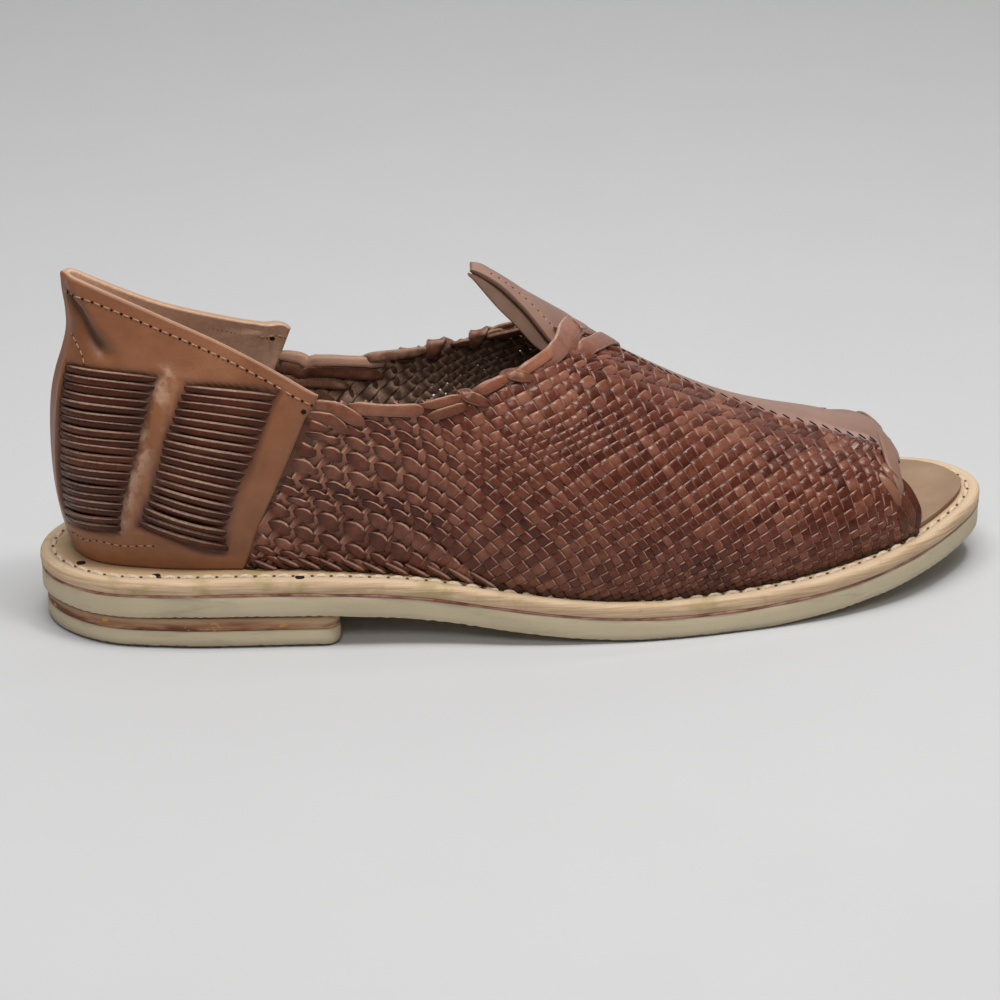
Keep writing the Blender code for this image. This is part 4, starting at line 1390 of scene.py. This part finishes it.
def along_wall(wall, table, half_width, tone, tip=0.0, turns=0.0, way=1, over=False, taper=0.45):
    """A lace through (distance along the sole, distance below the top, lift) stops. Its
    smooth side faces outwards if way is 1, and inwards if it is -1."""
    stops = np.array(table, float)
    run = run_length(stops[:, :2])
    even = np.linspace(0, run[-1], int(run[-1] / 0.9) + 2)
    along, below, lift = smooth(even, run, stops).T
    top = wall.height(wall.rib_at(np.maximum(along, COUNTER_END)))
    points, outward = wall.at(wall.rib_at(along), top - below, lift)
    outward = way * outward
    if over:
        facing = ((lift + 0.35) / 0.9).clip(-1, 1)[:, None]
        outward = facing * outward + (1 - abs(facing)) * UPWARD
    width = half_width * (1 + 0.06 * np.sin(even / 5.3 + tone * 9))
    width = width * (taper + (1 - taper) * step(np.minimum(even, run[-1] - even), 0, 6))
    shade = 0.6 * np.exp(-np.minimum(even, run[-1] - even) / 1.6)
    twist = tip + turns * np.sin(even / 11 + tone * 7)
    return run_along(points, outward, width, tone, twist[:, None], shade)


# Each lace is half its width, its tone and its stops.
COLLAR_STRAPS = [
    (2, 0.5, [
        (56.5, 2, -0.8), (61, 2, -0.5), (64, 2.2, 0.6), (72, 3.2, 0.9), (80, 5.2, 0.7),
        (84.5, 6.8, -0.7),
    ]),
    (1.9, 0.2, [
        (56.5, 5.6, -0.8), (61, 5.6, -0.5), (64, 5.8, 0.4), (69, 6.6, 0.6), (75, 8.6, 0.4),
        (78, 9.8, -0.7),
    ]),
    (2, 0.9, [(74, 1.3, -0.6), (78, 1.4, 0.7), (90, 1.8, 1), (100, 2.1, 0.9), (107, 3.2, -0.8)]),
    (1.4, 0.6, [(103, 1, -0.6), (106, 1.1, 0.6), (113, 1, 0.8), (118, 1, 0.6), (121.5, 1.5, -0.5)]),
    (1.7, 0.3, [
        (106, 5, -0.7), (109, 4.7, 0.5), (116, 4.2, 0.7), (121, 4.2, 0.5), (124, 4.4, -0.6),
    ]),
    (1.7, 0.75, [
        (123, 1.4, -0.6), (127, 1.5, 0.7), (133, 1.6, 0.9), (137, 1.7, 0.4), (139.5, 2, -0.7),
    ]),
    (1.9, 1, [(139, 1.6, -0.6), (142, 1.8, 0.7), (148, 1.9, 1), (153, 2.1, 0.8), (158, 3, -0.6)]),
]
INNER_STRAPS = [
    # Painted light: a tone of 2 gives this top strap the lightest colour of its leather.
    (1.9, 2, [
        (57, 1.8, -0.5), (62.5, 1.7, -0.6), (67, 1.6, -1.5), (77, 1.3, -2), (86, 1.7, -2),
        (94, 2.6, -1.8), (100, 4.6, -0.9),
    ]),
    (2, 0.1, [
        (57, 6, -0.5), (62.5, 5.9, -0.6), (67, 5.8, -1.5), (77, 5.4, -2), (86, 5.9, -2),
        (95, 7, -1.8), (101, 9, -0.9),
    ]),
    (1.7, 0.5, [
        (57, 10, -0.5), (62.5, 9.9, -0.6), (67, 9.8, -1.4), (75, 9.4, -1.9), (82, 10, -1.8),
        (89, 11.6, -0.9),
    ]),
    (1.7, 0.2, [
        (57, 14, -0.5), (62.5, 13.9, -0.6), (68, 13.6, -1.9), (76, 14.2, -1.8), (84, 16, -0.9),
    ]),
    (1.6, 0.6, [
        (88, 2, -1), (93, 0.9, -1.8), (102, 0.7, -1.9), (112, 0.9, -1.8), (119, 1.2, -0.9),
    ]),
    (1.6, 0.2, [(127, 1.4, -1), (130, 1.2, -1.8), (134, 1.3, -1.7), (137, 1.6, -0.9)]),
    (1.7, 0.3, [
        (140, 2, -1), (145, 1.4, -1.8), (150, 1.5, -1.9), (156, 1.8, -1.6), (160, 2, -0.9),
    ]),
]
ROOT_LACES = [
    (3.2, 0.7, [
        (151, 4.4, -0.8), (153.5, 3.6, 0.9), (157, 3.2, 1.2), (160.5, 3.1, 1.3), (163.5, 2.4, 1.6),
        (166.5, -2.5, 1.8), (168.5, -8, 1.6), (169.5, -12, -0.5),
    ]),
    (2.6, 0, [
        (160, 13, -0.9), (162, 10, 0.4), (165.5, 4, 0.8), (169, -2, 1.2), (172.5, -8, 1.2),
        (175, -12, -0.5),
    ]),
    (3.1, 0.3, [
        (166.5, 15.5, -0.9), (168, 12, 0.7), (170.8, 6.5, 1.2), (174, -0.5, 1.6), (178, -7.5, 1.6),
        (181, -12, -0.5),
    ]),
]
LOOP = [(-1.5, 4.5, -1.9), (-0.8, 1.8, -1.8), (0, -0.8, -0.35), (1, 0.8, 1)]
LOOP += [(4, 2.9, 1.4), (7.5, 5.2, 1.1), (10, 7.2, -0.6)]
collar_runs, inner_runs, root_runs = [], [], []
LOOPS = [(LATERAL, at, 1.9, collar_runs) for at in (120.5, 137)]
LOOPS += [(MEDIAL, at, 3, inner_runs) for at in (120.5, 136.5)]
for side, wall in WALLS.items():
    for half, tone, table in COLLAR_STRAPS:
        if side == "outer" or table[0][0] > 130:
            collar_runs.append(along_wall(wall, table, half, tone, 0.12, 0.08))
for wall, at, half, kept in LOOPS:
    table = [(at + along, below, lift) for along, below, lift in LOOP]
    kept.append(along_wall(wall, table, half, 0.3, over=True))
for half, tone, table in ROOT_LACES:
    root_runs.append(along_wall(LATERAL, table, half, tone, 0.05, taper=0.85))
for half, tone, table in INNER_STRAPS:
    inner_runs.append(along_wall(MEDIAL, table, half, tone, -0.1, 0.06, way=-1))
for side, wall in WALLS.items():
    height = np.linspace(0.2, 30, 26)
    along = np.interp(height, TOE_HEIGHTS, TOE_EDGES[side]) - 0.2
    points, outward = wall.at(wall.rib_at(along), height, -0.6)
    shade = 0.8 * step(-height, -3, 0)
    collar_runs.append(run_along(points, outward, 1.5, 0.1, shade=shade))
RIM_LACES = [
    (0.2, 1, 23, -0.1),
    (2.7, 3, 16, 0.2),
    (2.9, 15, 29, 0.9),
    (5.3, 1.5, 13, -0.2),
    (5.5, 11, 26, 1.6),
]
for side, wall in WALLS.items():
    for back, low, high, tone in RIM_LACES:
        share = np.linspace(0, 1, 22)
        height = low + (high - low) * share
        along = np.interp(height, TOE_HEIGHTS, TOE_EDGES[side]) - back - 1.2 * (share - 0.5)
        arch = np.sin(math.pi * share) ** 0.6
        points, outward = wall.at(wall.rib_at(along), height, -0.9 + 1.6 * arch)
        shade = 0.25 + 0.6 * (1 - arch)
        collar_runs.append(run_along(points, outward, 0.5 + arch, tone, 0.35, shade))
ride(laces("collar_and_toe_laces", collar_runs, COLLAR_LEATHER), "woven_leather")
ride(laces("inner_collar_laces", inner_runs, INNER_LEATHER), "woven_leather")
ride(laces("tongue_root_laces", root_runs, ROOT_LEATHER), "woven_leather")


# ------------------------------------------------------------------ the slits in the strip
# Short slits punched along both edges of the vamp strip. The rising laces go down into
# them, and so hold the strip to the wall. Each slit is a small dark bar of painted shade.


def copy_to_points(nodes, given):
    """Puts a copy of a small shape on each point, turned along it and scaled to its size."""
    points = nodes.add("GeometryNodeMeshToPoints", None, {"Mesh": given["Geometry"]})
    shape = nodes.add("GeometryNodeObjectInfo", None, {"Object": given["Shape"]}, out=4)
    axes = {"Primary Axis": named(nodes, "ahead"), "Secondary Axis": named(nodes, "outward")}
    settings = {"primary_axis": "X", "secondary_axis": "Z"}
    sockets = {"Points": points, "Instance": shape, "Scale": named(nodes, "size")}
    sockets["Rotation"] = nodes.add("FunctionNodeAxesToRotation", settings, axes)
    return nodes.add("GeometryNodeInstanceOnPoints", None, sockets)


COPY_GROUP = making_group("copies", {"Shape": "Object"}, copy_to_points)


def rounded_bar(name, rings=9, sides=8, dip=0.0):
    """A rounded bar of length, width and height 1, whose ends may dip."""
    turn = np.linspace(0, 2 * math.pi, sides, endpoint=False)
    points, faces = [], []
    for x in np.linspace(-1, 1, rings):
        reach = math.sqrt(max(1 - abs(x) ** 3.5, 0.03)) / 2
        sag = -dip * abs(x) ** 2.5
        points += [(x / 2, reach * math.cos(a), reach * math.sin(a) + sag) for a in turn]
    for ring in range(rings - 1):
        for k in range(sides):
            a, b = ring * sides + k, ring * sides + (k + 1) % sides
            faces.append((a, b, b + sides, a + sides))
    faces += [tuple(range(sides))[::-1], tuple(range((rings - 1) * sides, rings * sides))]
    mesh = bpy.data.meshes.new(name)
    mesh.from_pydata((np.array(points) * MM).tolist(), [], faces)
    return bpy.data.objects.new(name, mesh)


def copies(name, shape, points, ahead, outward, size, look):
    """Copies of a small shape at points. size is length, width and height in millimetres."""
    mesh = bpy.data.meshes.new(name + "_points")
    mesh.from_pydata(place(points).tolist(), [], [])
    for key, values in (("ahead", ahead), ("outward", outward), ("size", size)):
        store(mesh, key, np.broadcast_to(values, np.shape(points)))
    helper = bpy.data.objects.new(name + "_points", mesh)
    return made_by(COPY_GROUP, helper, name, Shape=shape, Look=look)


# Near black: painted shade for the slits and the punched and stitch holes, and the nail heads' own
# dark colour.
def dark_finish():
    look = Finish("dark_holes", Roughness=0.9, Specular_IOR_Level=0.1)
    depths = (0.3, (0.012, 0.006, 0.004)), (0.7, (0.03, 0.014, 0.009))
    look.set(Base_Color=look.ramp(look.noise(2, 2), *depths))
    return look.material


DARK = dark_finish()
# Each slit is a dark bar of painted shade where a lace goes down into the strip.
SLIT_SHAPE = rounded_bar("slit_shape", 7, 6)
SLIT = (3.4, 0.8, 0.35)
for side in WALLS:
    points, ahead, facing = np.array(STRIP_ENDS[side, "rising"]).transpose(1, 0, 2)
    across = unit(np.cross(facing, ahead) + 0.25 * ahead)
    piece = copies(f"strip_slits_{side}", SLIT_SHAPE, points, across, facing, SLIT, DARK)
    ride(piece, "vamp_leather")


# ------------------------------------------------------------------ the vamp strip and tongue
# One long piece of smooth pinkish-brown leather. It lies along the crest from the toe and
# rises free at the throat into a pointed tongue.

STRIP_THICKNESS = 1.4
TONGUE_THICKNESS = 1.7
# Each row is a point of the near edge, one of the far edge, and how high it arches between.
TONGUE = [
    ((133.7, 0.6, 104.9), (134.6, 4.6, 106.0), 0.0),
    ((135.6, -0.2, 104.3), (137.6, 5.8, 104.6), 0.3),
    ((138.1, -1.2, 103.3), (141.5, 7.2, 101.8), 0.6),
    ((143.0, -3.2, 100.3), (147.0, 8.8, 97.6), 1.0),
    ((146.4, -4.8, 97.2), (151.5, 9.8, 94.0), 1.4),
    ((150.9, -7.2, 92.4), (156.0, 10.8, 91.0), 1.8),
    ((154.5, -9.6, 87.8), (160.5, 11.6, 88.0), 1.9),
    ((158.0, -11.5, 84.0), (165.5, 12.4, 84.6), 1.4),
    ((163.5, -10.5, 82.6), (171.0, 12.0, 80.2), 1.0),
]


def crest_point(number, y):
    """The wall's point on a rib of the vamp, at a reach of y, and the way it faces there."""
    middle = float(rib_values(LATERAL_RIBS, number)["top_y"])
    wall = LATERAL if y < middle else MEDIAL
    heights = np.linspace(0.45, 1, 60) * wall.height(number)
    table = np.hstack(wall.at(np.full(60, number), heights))[::-1]
    return [np.interp(wall.side * y, wall.side * table[:, 1], column) for column in table.T]


def flap_rows(table, parts, count):
    """Rows of a free flap between its near and far edges. parts run from -1 to 1."""
    near, far, crown = (np.array(column, float) for column in zip(*table))
    run = run_length(near)
    even = np.linspace(0, run[-1], count)
    near, far, crown = (smooth(even, run, values) for values in (near, far, crown))
    share = (parts[None, :, None] + 1) / 2
    rows = near[:, None] + (far - near)[:, None] * share
    rows[..., 2] += crown[:, None] * (1 - parts**2)
    return rows


def grid_normals(rows):
    """The way a grid of points faces at each of them."""
    return unit(np.cross(np.gradient(rows, axis=0), np.gradient(rows, axis=1)))


def vamp_finish(name, dark, light, dullness=0.35):
    """Smooth leather with a darker, rough flesh side and cut edges."""
    look = Finish(name, Specular_IOR_Level=0.45)
    cloud = look.noise(20, 4, 0.6)
    pores = look.noise(0.8, 3, 0.7)
    grain = look.ramp(cloud, (0.3, dark), (0.7, light))
    fuzz = look.noise(1.5, 4, 0.75)
    flesh = look.ramp(fuzz, (0.3, (0.1, 0.062, 0.04)), (0.7, (0.17, 0.11, 0.075)))
    sides = look.mix(look.attribute("flesh").between(0.45, 0.55), grain, flesh)
    edge = look.mix(look.attribute("cut").between(0.3, 0.9) * 0.8, sides, (0.2, 0.1, 0.06))
    look.set(Base_Color=edge, Roughness=cloud * 0.2 + dullness)
    look.bump(pores * 0.6 + cloud * 0.4, 0.15)
    return look.material


VAMP_LEATHER = vamp_finish("vamp_leather", (0.215, 0.113, 0.079), (0.31, 0.178, 0.134))
# The strip is laid row by row from the throat to its rounded toe end. The ribs that a row
# crosses depend on its reach to both sides, and the other way round, so both are found by
# going over them a few times.
ROW_ROUNDS = 8
across = rim_spacing(31, 0.015) * 2 - 1
share = np.linspace(0, 1, 90)
laid, facing = [], []
for part in share:
    numbers = np.full(len(across), THROAT_RIB + (LAST_RIB - THROAT_RIB) * part)
    for _ in range(ROW_ROUNDS):
        x = np.interp(numbers, np.arange(LAST_RIB + 1.0), LATERAL_RIBS["top_x"])
        under = 3.0 * step(-x, -266, -258)
        near = smooth(x, SLITS["x"], SLITS["near"]) - under
        far = smooth(x, SLITS["x"], SLITS["far"]) + under
        reach = near + (far - near) * (across + 1) / 2
        toe_reach = np.where(reach > -1, 9 * np.tanh((reach + 1) / 9), reach + 1)
        end = 20.95 - np.where(toe_reach > 0, 0.0135, 0.0016) * toe_reach**2
        numbers = (numbers + THROAT_RIB + (end - THROAT_RIB) * part) / 2
    row = np.array([crest_point(number, y) for number, y in zip(numbers, reach)])
    laid.append(row[:, :3])
    facing.append(unit(row[:, 3:]))
laid, facing = np.array(laid), np.array(facing)
margin = step(np.abs(across), 0.55, 0.72) * step(-share[:, None], -0.9, -0.8)
low = STRIP_TOP - STRIP_THICKNESS - 1.2 * margin
over, under = (laid + lift[..., None] * facing for lift in (low + STRIP_THICKNESS, low))
ride(shell("vamp_strip", over, under, VAMP_LEATHER), "vamp_leather", "vamp_strip")
tongue_rows = flap_rows(TONGUE, across, 44)
under_tongue = tongue_rows - TONGUE_THICKNESS * grid_normals(tongue_rows)
ride(shell("tongue", tongue_rows, under_tongue, VAMP_LEATHER), "vamp_leather")
# Its toe end goes on as a narrow tab down each side of the opening.
ends = []
height = np.linspace(46, 15, 26)
along = np.interp(height, (14, 20, 26, 34, 40), (264.6, 263.6, 263, 263.4, 264.2))
lift = 0.9 - 1.2 * step(-height, -18, -15) - 0.9 * step(height, 38, 43)
for wall in WALLS.values():
    points, outward = wall.at(wall.rib_at(along), height, lift)
    ends.append(run_along(points, outward, 1.2 + 1.5 * step(height, 14, 30)))
ride(laces("strip_ends", ends, VAMP_LEATHER), "vamp_leather")


# ------------------------------------------------------------------ the tongue's lining
# A second, darker layer under the tongue, with its rough side up. It is cut a little
# larger, so that its near edge shows.

# The near edge, from the tongue's tip down.
LINING_EDGE = [
    (133.0, 0.2, 104.4),
    (135.2, -2.4, 101.7),
    (140.7, -6.6, 95.4),
    (146.3, -9.8, 90.0),
    (151.2, -12.2, 84.6),
    (155.0, -13.0, 81.4),
]
LINING_THICKNESS = 1.2
LINING_LEATHER = vamp_finish("lining_leather", (0.088, 0.044, 0.026), (0.16, 0.09, 0.056), 0.75)
edge = smooth(np.linspace(0, 5, 44), np.arange(6.0), LINING_EDGE)
rows = under_tongue - 0.25 * grid_normals(tongue_rows)
turn = int(np.argmin(abs(across + 0.8)))
share = step(np.arange(turn), 0, turn)[None, :, None]
rows[:, :turn] = (1 - share) * edge[:, None] + share * rows[:, [turn]]
rows = rows[1:]
under = rows - LINING_THICKNESS * grid_normals(rows)
lining = shell("tongue_lining_layer", rows, under, LINING_LEATHER)
ride(lining, "lining_leather", "tongue_lining")


# ------------------------------------------------------------------ the stitching
# Waxed thread holds the platform to the rubber and edges the counter and the tongue. Each
# stitch is a short bar that dips into a hole at both ends; the holes are small dark shapes,
# painted shade. Three nails hold each side of the heel, and a hole is punched in each front
# corner of the counter, drawn as a dark shape of painted shade.


def thread_finish(name, dark, light):
    look = Finish(name, Roughness=0.6, Specular_IOR_Level=0.3)
    twist = look.noise(0.7, 3, 0.7)
    look.set(Base_Color=look.ramp(twist, (0.3, dark), (0.7, light)))
    look.bump(twist, 0.2)
    return look.material


SOLE_THREAD = thread_finish("sole_thread", (0.5, 0.37, 0.24), (0.76, 0.62, 0.46))
# Brown-black holes between the sole's stitches and inside the counter's rim: painted shade.
BROWN_HOLES = thread_finish("stitch_holes", (0.06, 0.028, 0.014), (0.16, 0.085, 0.045))
COUNTER_THREAD = thread_finish("counter_thread", (0.3, 0.14, 0.07), (0.5, 0.28, 0.17))
STITCH_SHAPE = rounded_bar("stitch_shape", 7, 6, dip=0.6)
HOLE_SHAPE = rounded_bar("hole_shape", 5, 6)


def stitch_row(slot, name, line, outward, spacing, bar, hole, thread=COUNTER_THREAD, depth=DARK):
    """Bars of thread at equal steps along a line, with a dark hole of painted shade between each two.
    """
    run = run_length(line)
    at = np.arange(spacing / 2, run[-1], spacing)
    ahead = unit(smooth(at + 0.3, run, line) - smooth(at - 0.3, run, line))
    points, facing = smooth(at, run, line), unit(smooth(at, run, outward))
    ride(copies(name, STITCH_SHAPE, points, ahead, facing, bar, thread), slot)
    holes = points + 0.5 * spacing * ahead + 0.04 * facing
    ride(copies(name + "_holes", HOLE_SHAPE, holes, ahead, facing, hole, depth), slot)


left, right = inset(sole_sides(300), STITCH_INSET)
loop = np.vstack([left, right[::-1]])[:-1]
loop = loop[np.r_[True, np.linalg.norm(np.diff(loop, axis=0), axis=1) > 0.02]]
line = np.column_stack([loop, underside(loop[:, 0]) + PLATFORM_TOP - 0.1])
bar, hole = (5.1, 1.6, 1.4), (1.1, 0.8, 0.25)
sewn = (line, np.tile(UPWARD, (len(line), 1)), 5.7, bar, hole, SOLE_THREAD, BROWN_HOLES)
stitch_row("platform_leather", "sole_stitches", *sewn)

# The rim's stitches follow the counter's top at these distances below it.
RIM_BELOW = [(0.12, 6.4), (0.69, 5.2), (1.83, 4.4), (2.85, 4.0), (3.62, 3.9), (4.22, 3.8)]
RIM_BELOW += [(4.7, 3.7), (4.98, 3.4)]
RIM_BELOW = columns("rib below", RIM_BELOW)
PATCH_RIBS = np.array([0.55, 0.75, 1.0, 1.28, 1.48, 1.6])
PATCH_HEIGHTS = np.array([71.2, 71.3, 70.2, 68.0, 66.0, 63.8])
rim_ribs, margin_ribs = np.linspace(0.12, 4.95, 120), np.linspace(0.9, 3.5, 60)
margin_heights = 8.3 + 0.3 * np.sin(margin_ribs * 6)
for side, wall in WALLS.items():
    rim = wall.height(rim_ribs) - np.interp(rim_ribs, RIM_BELOW["rib"], RIM_BELOW["below"])
    for name, rib, height, spacing, bar, hole in (
        ("rim", rim_ribs, rim, 3.1, (2.3, 0.5, 0.45), (0.85, 0.75, 0.5)),
        ("patch", PATCH_RIBS, PATCH_HEIGHTS, 2.4, (2.2, 0.5, 0.4), (0.5, 0.4, 0.2)),
        ("margin", margin_ribs, margin_heights, 2.6, (2.0, 0.6, 0.5), (0.6, 0.5, 0.2)),
    ):
        line, outward = wall.at(rib, height, counter_relief(rib, height) + 0.05)
        sewn = (line, outward, spacing, bar, hole)
        stitch_row("woven_leather", f"{name}_stitches_{side}", *sewn)
        if name == "rim":
            line, _ = wall.at(rib, height - 0.8, 0.7 - COUNTER_THICKNESS)
            sewn = (line, -outward, spacing, (1.8, 0.5, 0.4), (0.6, 0.5, 0.3))
            name = f"rim_stitches_inside_{side}"
            stitch_row("woven_leather", name, *sewn, depth=BROWN_HOLES)

rows = flap_rows(TONGUE, np.array([-0.56, -0.5, -0.44]), 44)[4:]
sewn = (rows[:, 1], grid_normals(rows)[:, 1], 2.6, (2.0, 0.5, 0.4), (0.6, 0.5, 0.3))
stitch_row("vamp_leather", "tongue_stitches", *sewn)

NAILS = [(12.3, -13.6), (34.2, -27.0), (76.7, -35.0), (12.3, 14.2), (34.2, 27.4), (76.7, 29.2)]
NAIL_SHAPE, NAIL = rounded_bar("nail_shape", 9, 10), (2.9, 2.7, 0.3)
points = [(x, y, underside(x)[0] + PLATFORM_TOP) for x, y in NAILS]
piece = copies("nail_heads", NAIL_SHAPE, points, (1, 0, 0), UPWARD, NAIL, DARK)
ride(piece, "platform_leather")

# The counter's corner holes are dark shapes of painted shade.
CORNER_RIB, CORNER_HOLE = 4.86, (1.7, 1.5, 0.6)
relief = counter_relief(np.array([CORNER_RIB]), np.array([55.0]))[0]
inner_face = 0.75 - COUNTER_THICKNESS
points, facing = [], []
for wall in WALLS.values():
    for rib, below, lift, way in (
        (CORNER_RIB, 6.2, relief, 1),
        (CORNER_RIB - 0.13, 5.4, inner_face, -1),
    ):
        at, outward = wall.at(rib, wall.height(rib) - below, lift)
        points.append(at[0])
        facing.append(way * outward[0])
sewn = (points, (1, 0, 0), facing, CORNER_HOLE, DARK)
ride(copies("counter_corner_holes", HOLE_SHAPE, *sewn), "woven_leather")


# ------------------------------------------------------------------ the studio
# A pale sweep, soft lamps above and in front, and the camera at the outer side.


def floor_finish():
    look = Finish("floor", Roughness=0.9)
    speck = look.noise(60, 2) * 0.02
    rise = look.along(2).between(0.02, 0.5) * 0.28
    greys = (0.5, (0.5, 0.5, 0.5)), (0.9, (0.9, 0.9, 0.9))
    look.set(Base_Color=look.ramp(speck + rise + 0.53, *greys))
    return look.material


turn = np.linspace(0, math.pi / 2, 17)
bend = [(0.9 + 0.5 * math.sin(a), 0.5 - 0.5 * math.cos(a)) for a in turn]
profile = [(-1.5, 0), *bend, (1.4, 3)]
points = [(x, y, z) for x in (-3.0, 3.0) for y, z in profile]
count = len(profile)
mesh = bpy.data.meshes.new("floor")
faces = [(i, i + count, i + count + 1, i + 1) for i in range(count - 1)]
mesh.from_pydata(points, [], faces)
mesh.materials.append(floor_finish())
mesh.shade_smooth()
floor = in_scene("floor", mesh)


def lamp(name, at, aim, size, power):
    """A soft rectangular lamp, aimed at a point, all in the model's metres."""
    light = bpy.data.lights.new(name, "AREA")
    light.shape = "RECTANGLE"
    light.size, light.size_y = size
    light.energy = power
    made = in_scene(name, light)
    made.location = at
    made.rotation_mode = "QUATERNION"
    made.rotation_quaternion = (Vector(aim) - Vector(at)).to_track_quat("-Z", "Y")


lamp("overhead", (0.0, -0.15, 1.0), (0, 0, 0.03), (0.7, 0.4), 7.5)
lamp("small_overhead", (0.26, -0.24, 1.0), (0.03, 0, 0.05), (0.16, 0.1), 2.0)
lamp("front_fill", (-0.3, -1.1, 1.15), (0, 0, 0.05), (0.5, 0.4), 5.5)
lamp("backdrop_wash", (0.5, 0.5, 1.7), (0.4, 1.4, 1.2), (1.8, 0.3), 12)

world = bpy.context.scene.world or bpy.data.worlds.new("studio")
bpy.context.scene.world = world
world.use_nodes = True
sky = world.node_tree.nodes["Background"].inputs
sky["Color"].default_value = (1, 1, 1, 1)
sky["Strength"].default_value = 0.16

YAW, PITCH = 0.1517, 0.4146
SENSOR_WIDTH, LENS_PER_WIDTH = 36, 2.947
lens = bpy.data.cameras.new("camera")
lens.sensor_width = SENSOR_WIDTH
lens.lens = SENSOR_WIDTH * LENS_PER_WIDTH
lens.clip_start, lens.clip_end = 0.05, 20
camera = in_scene("camera", lens)
camera.location = place([15.4, -832.1, 398.8])
camera.rotation_euler = (math.pi / 2 - PITCH, 0, -YAW)
bpy.context.scene.camera = camera
bpy.context.scene.view_settings.view_transform = "Standard"
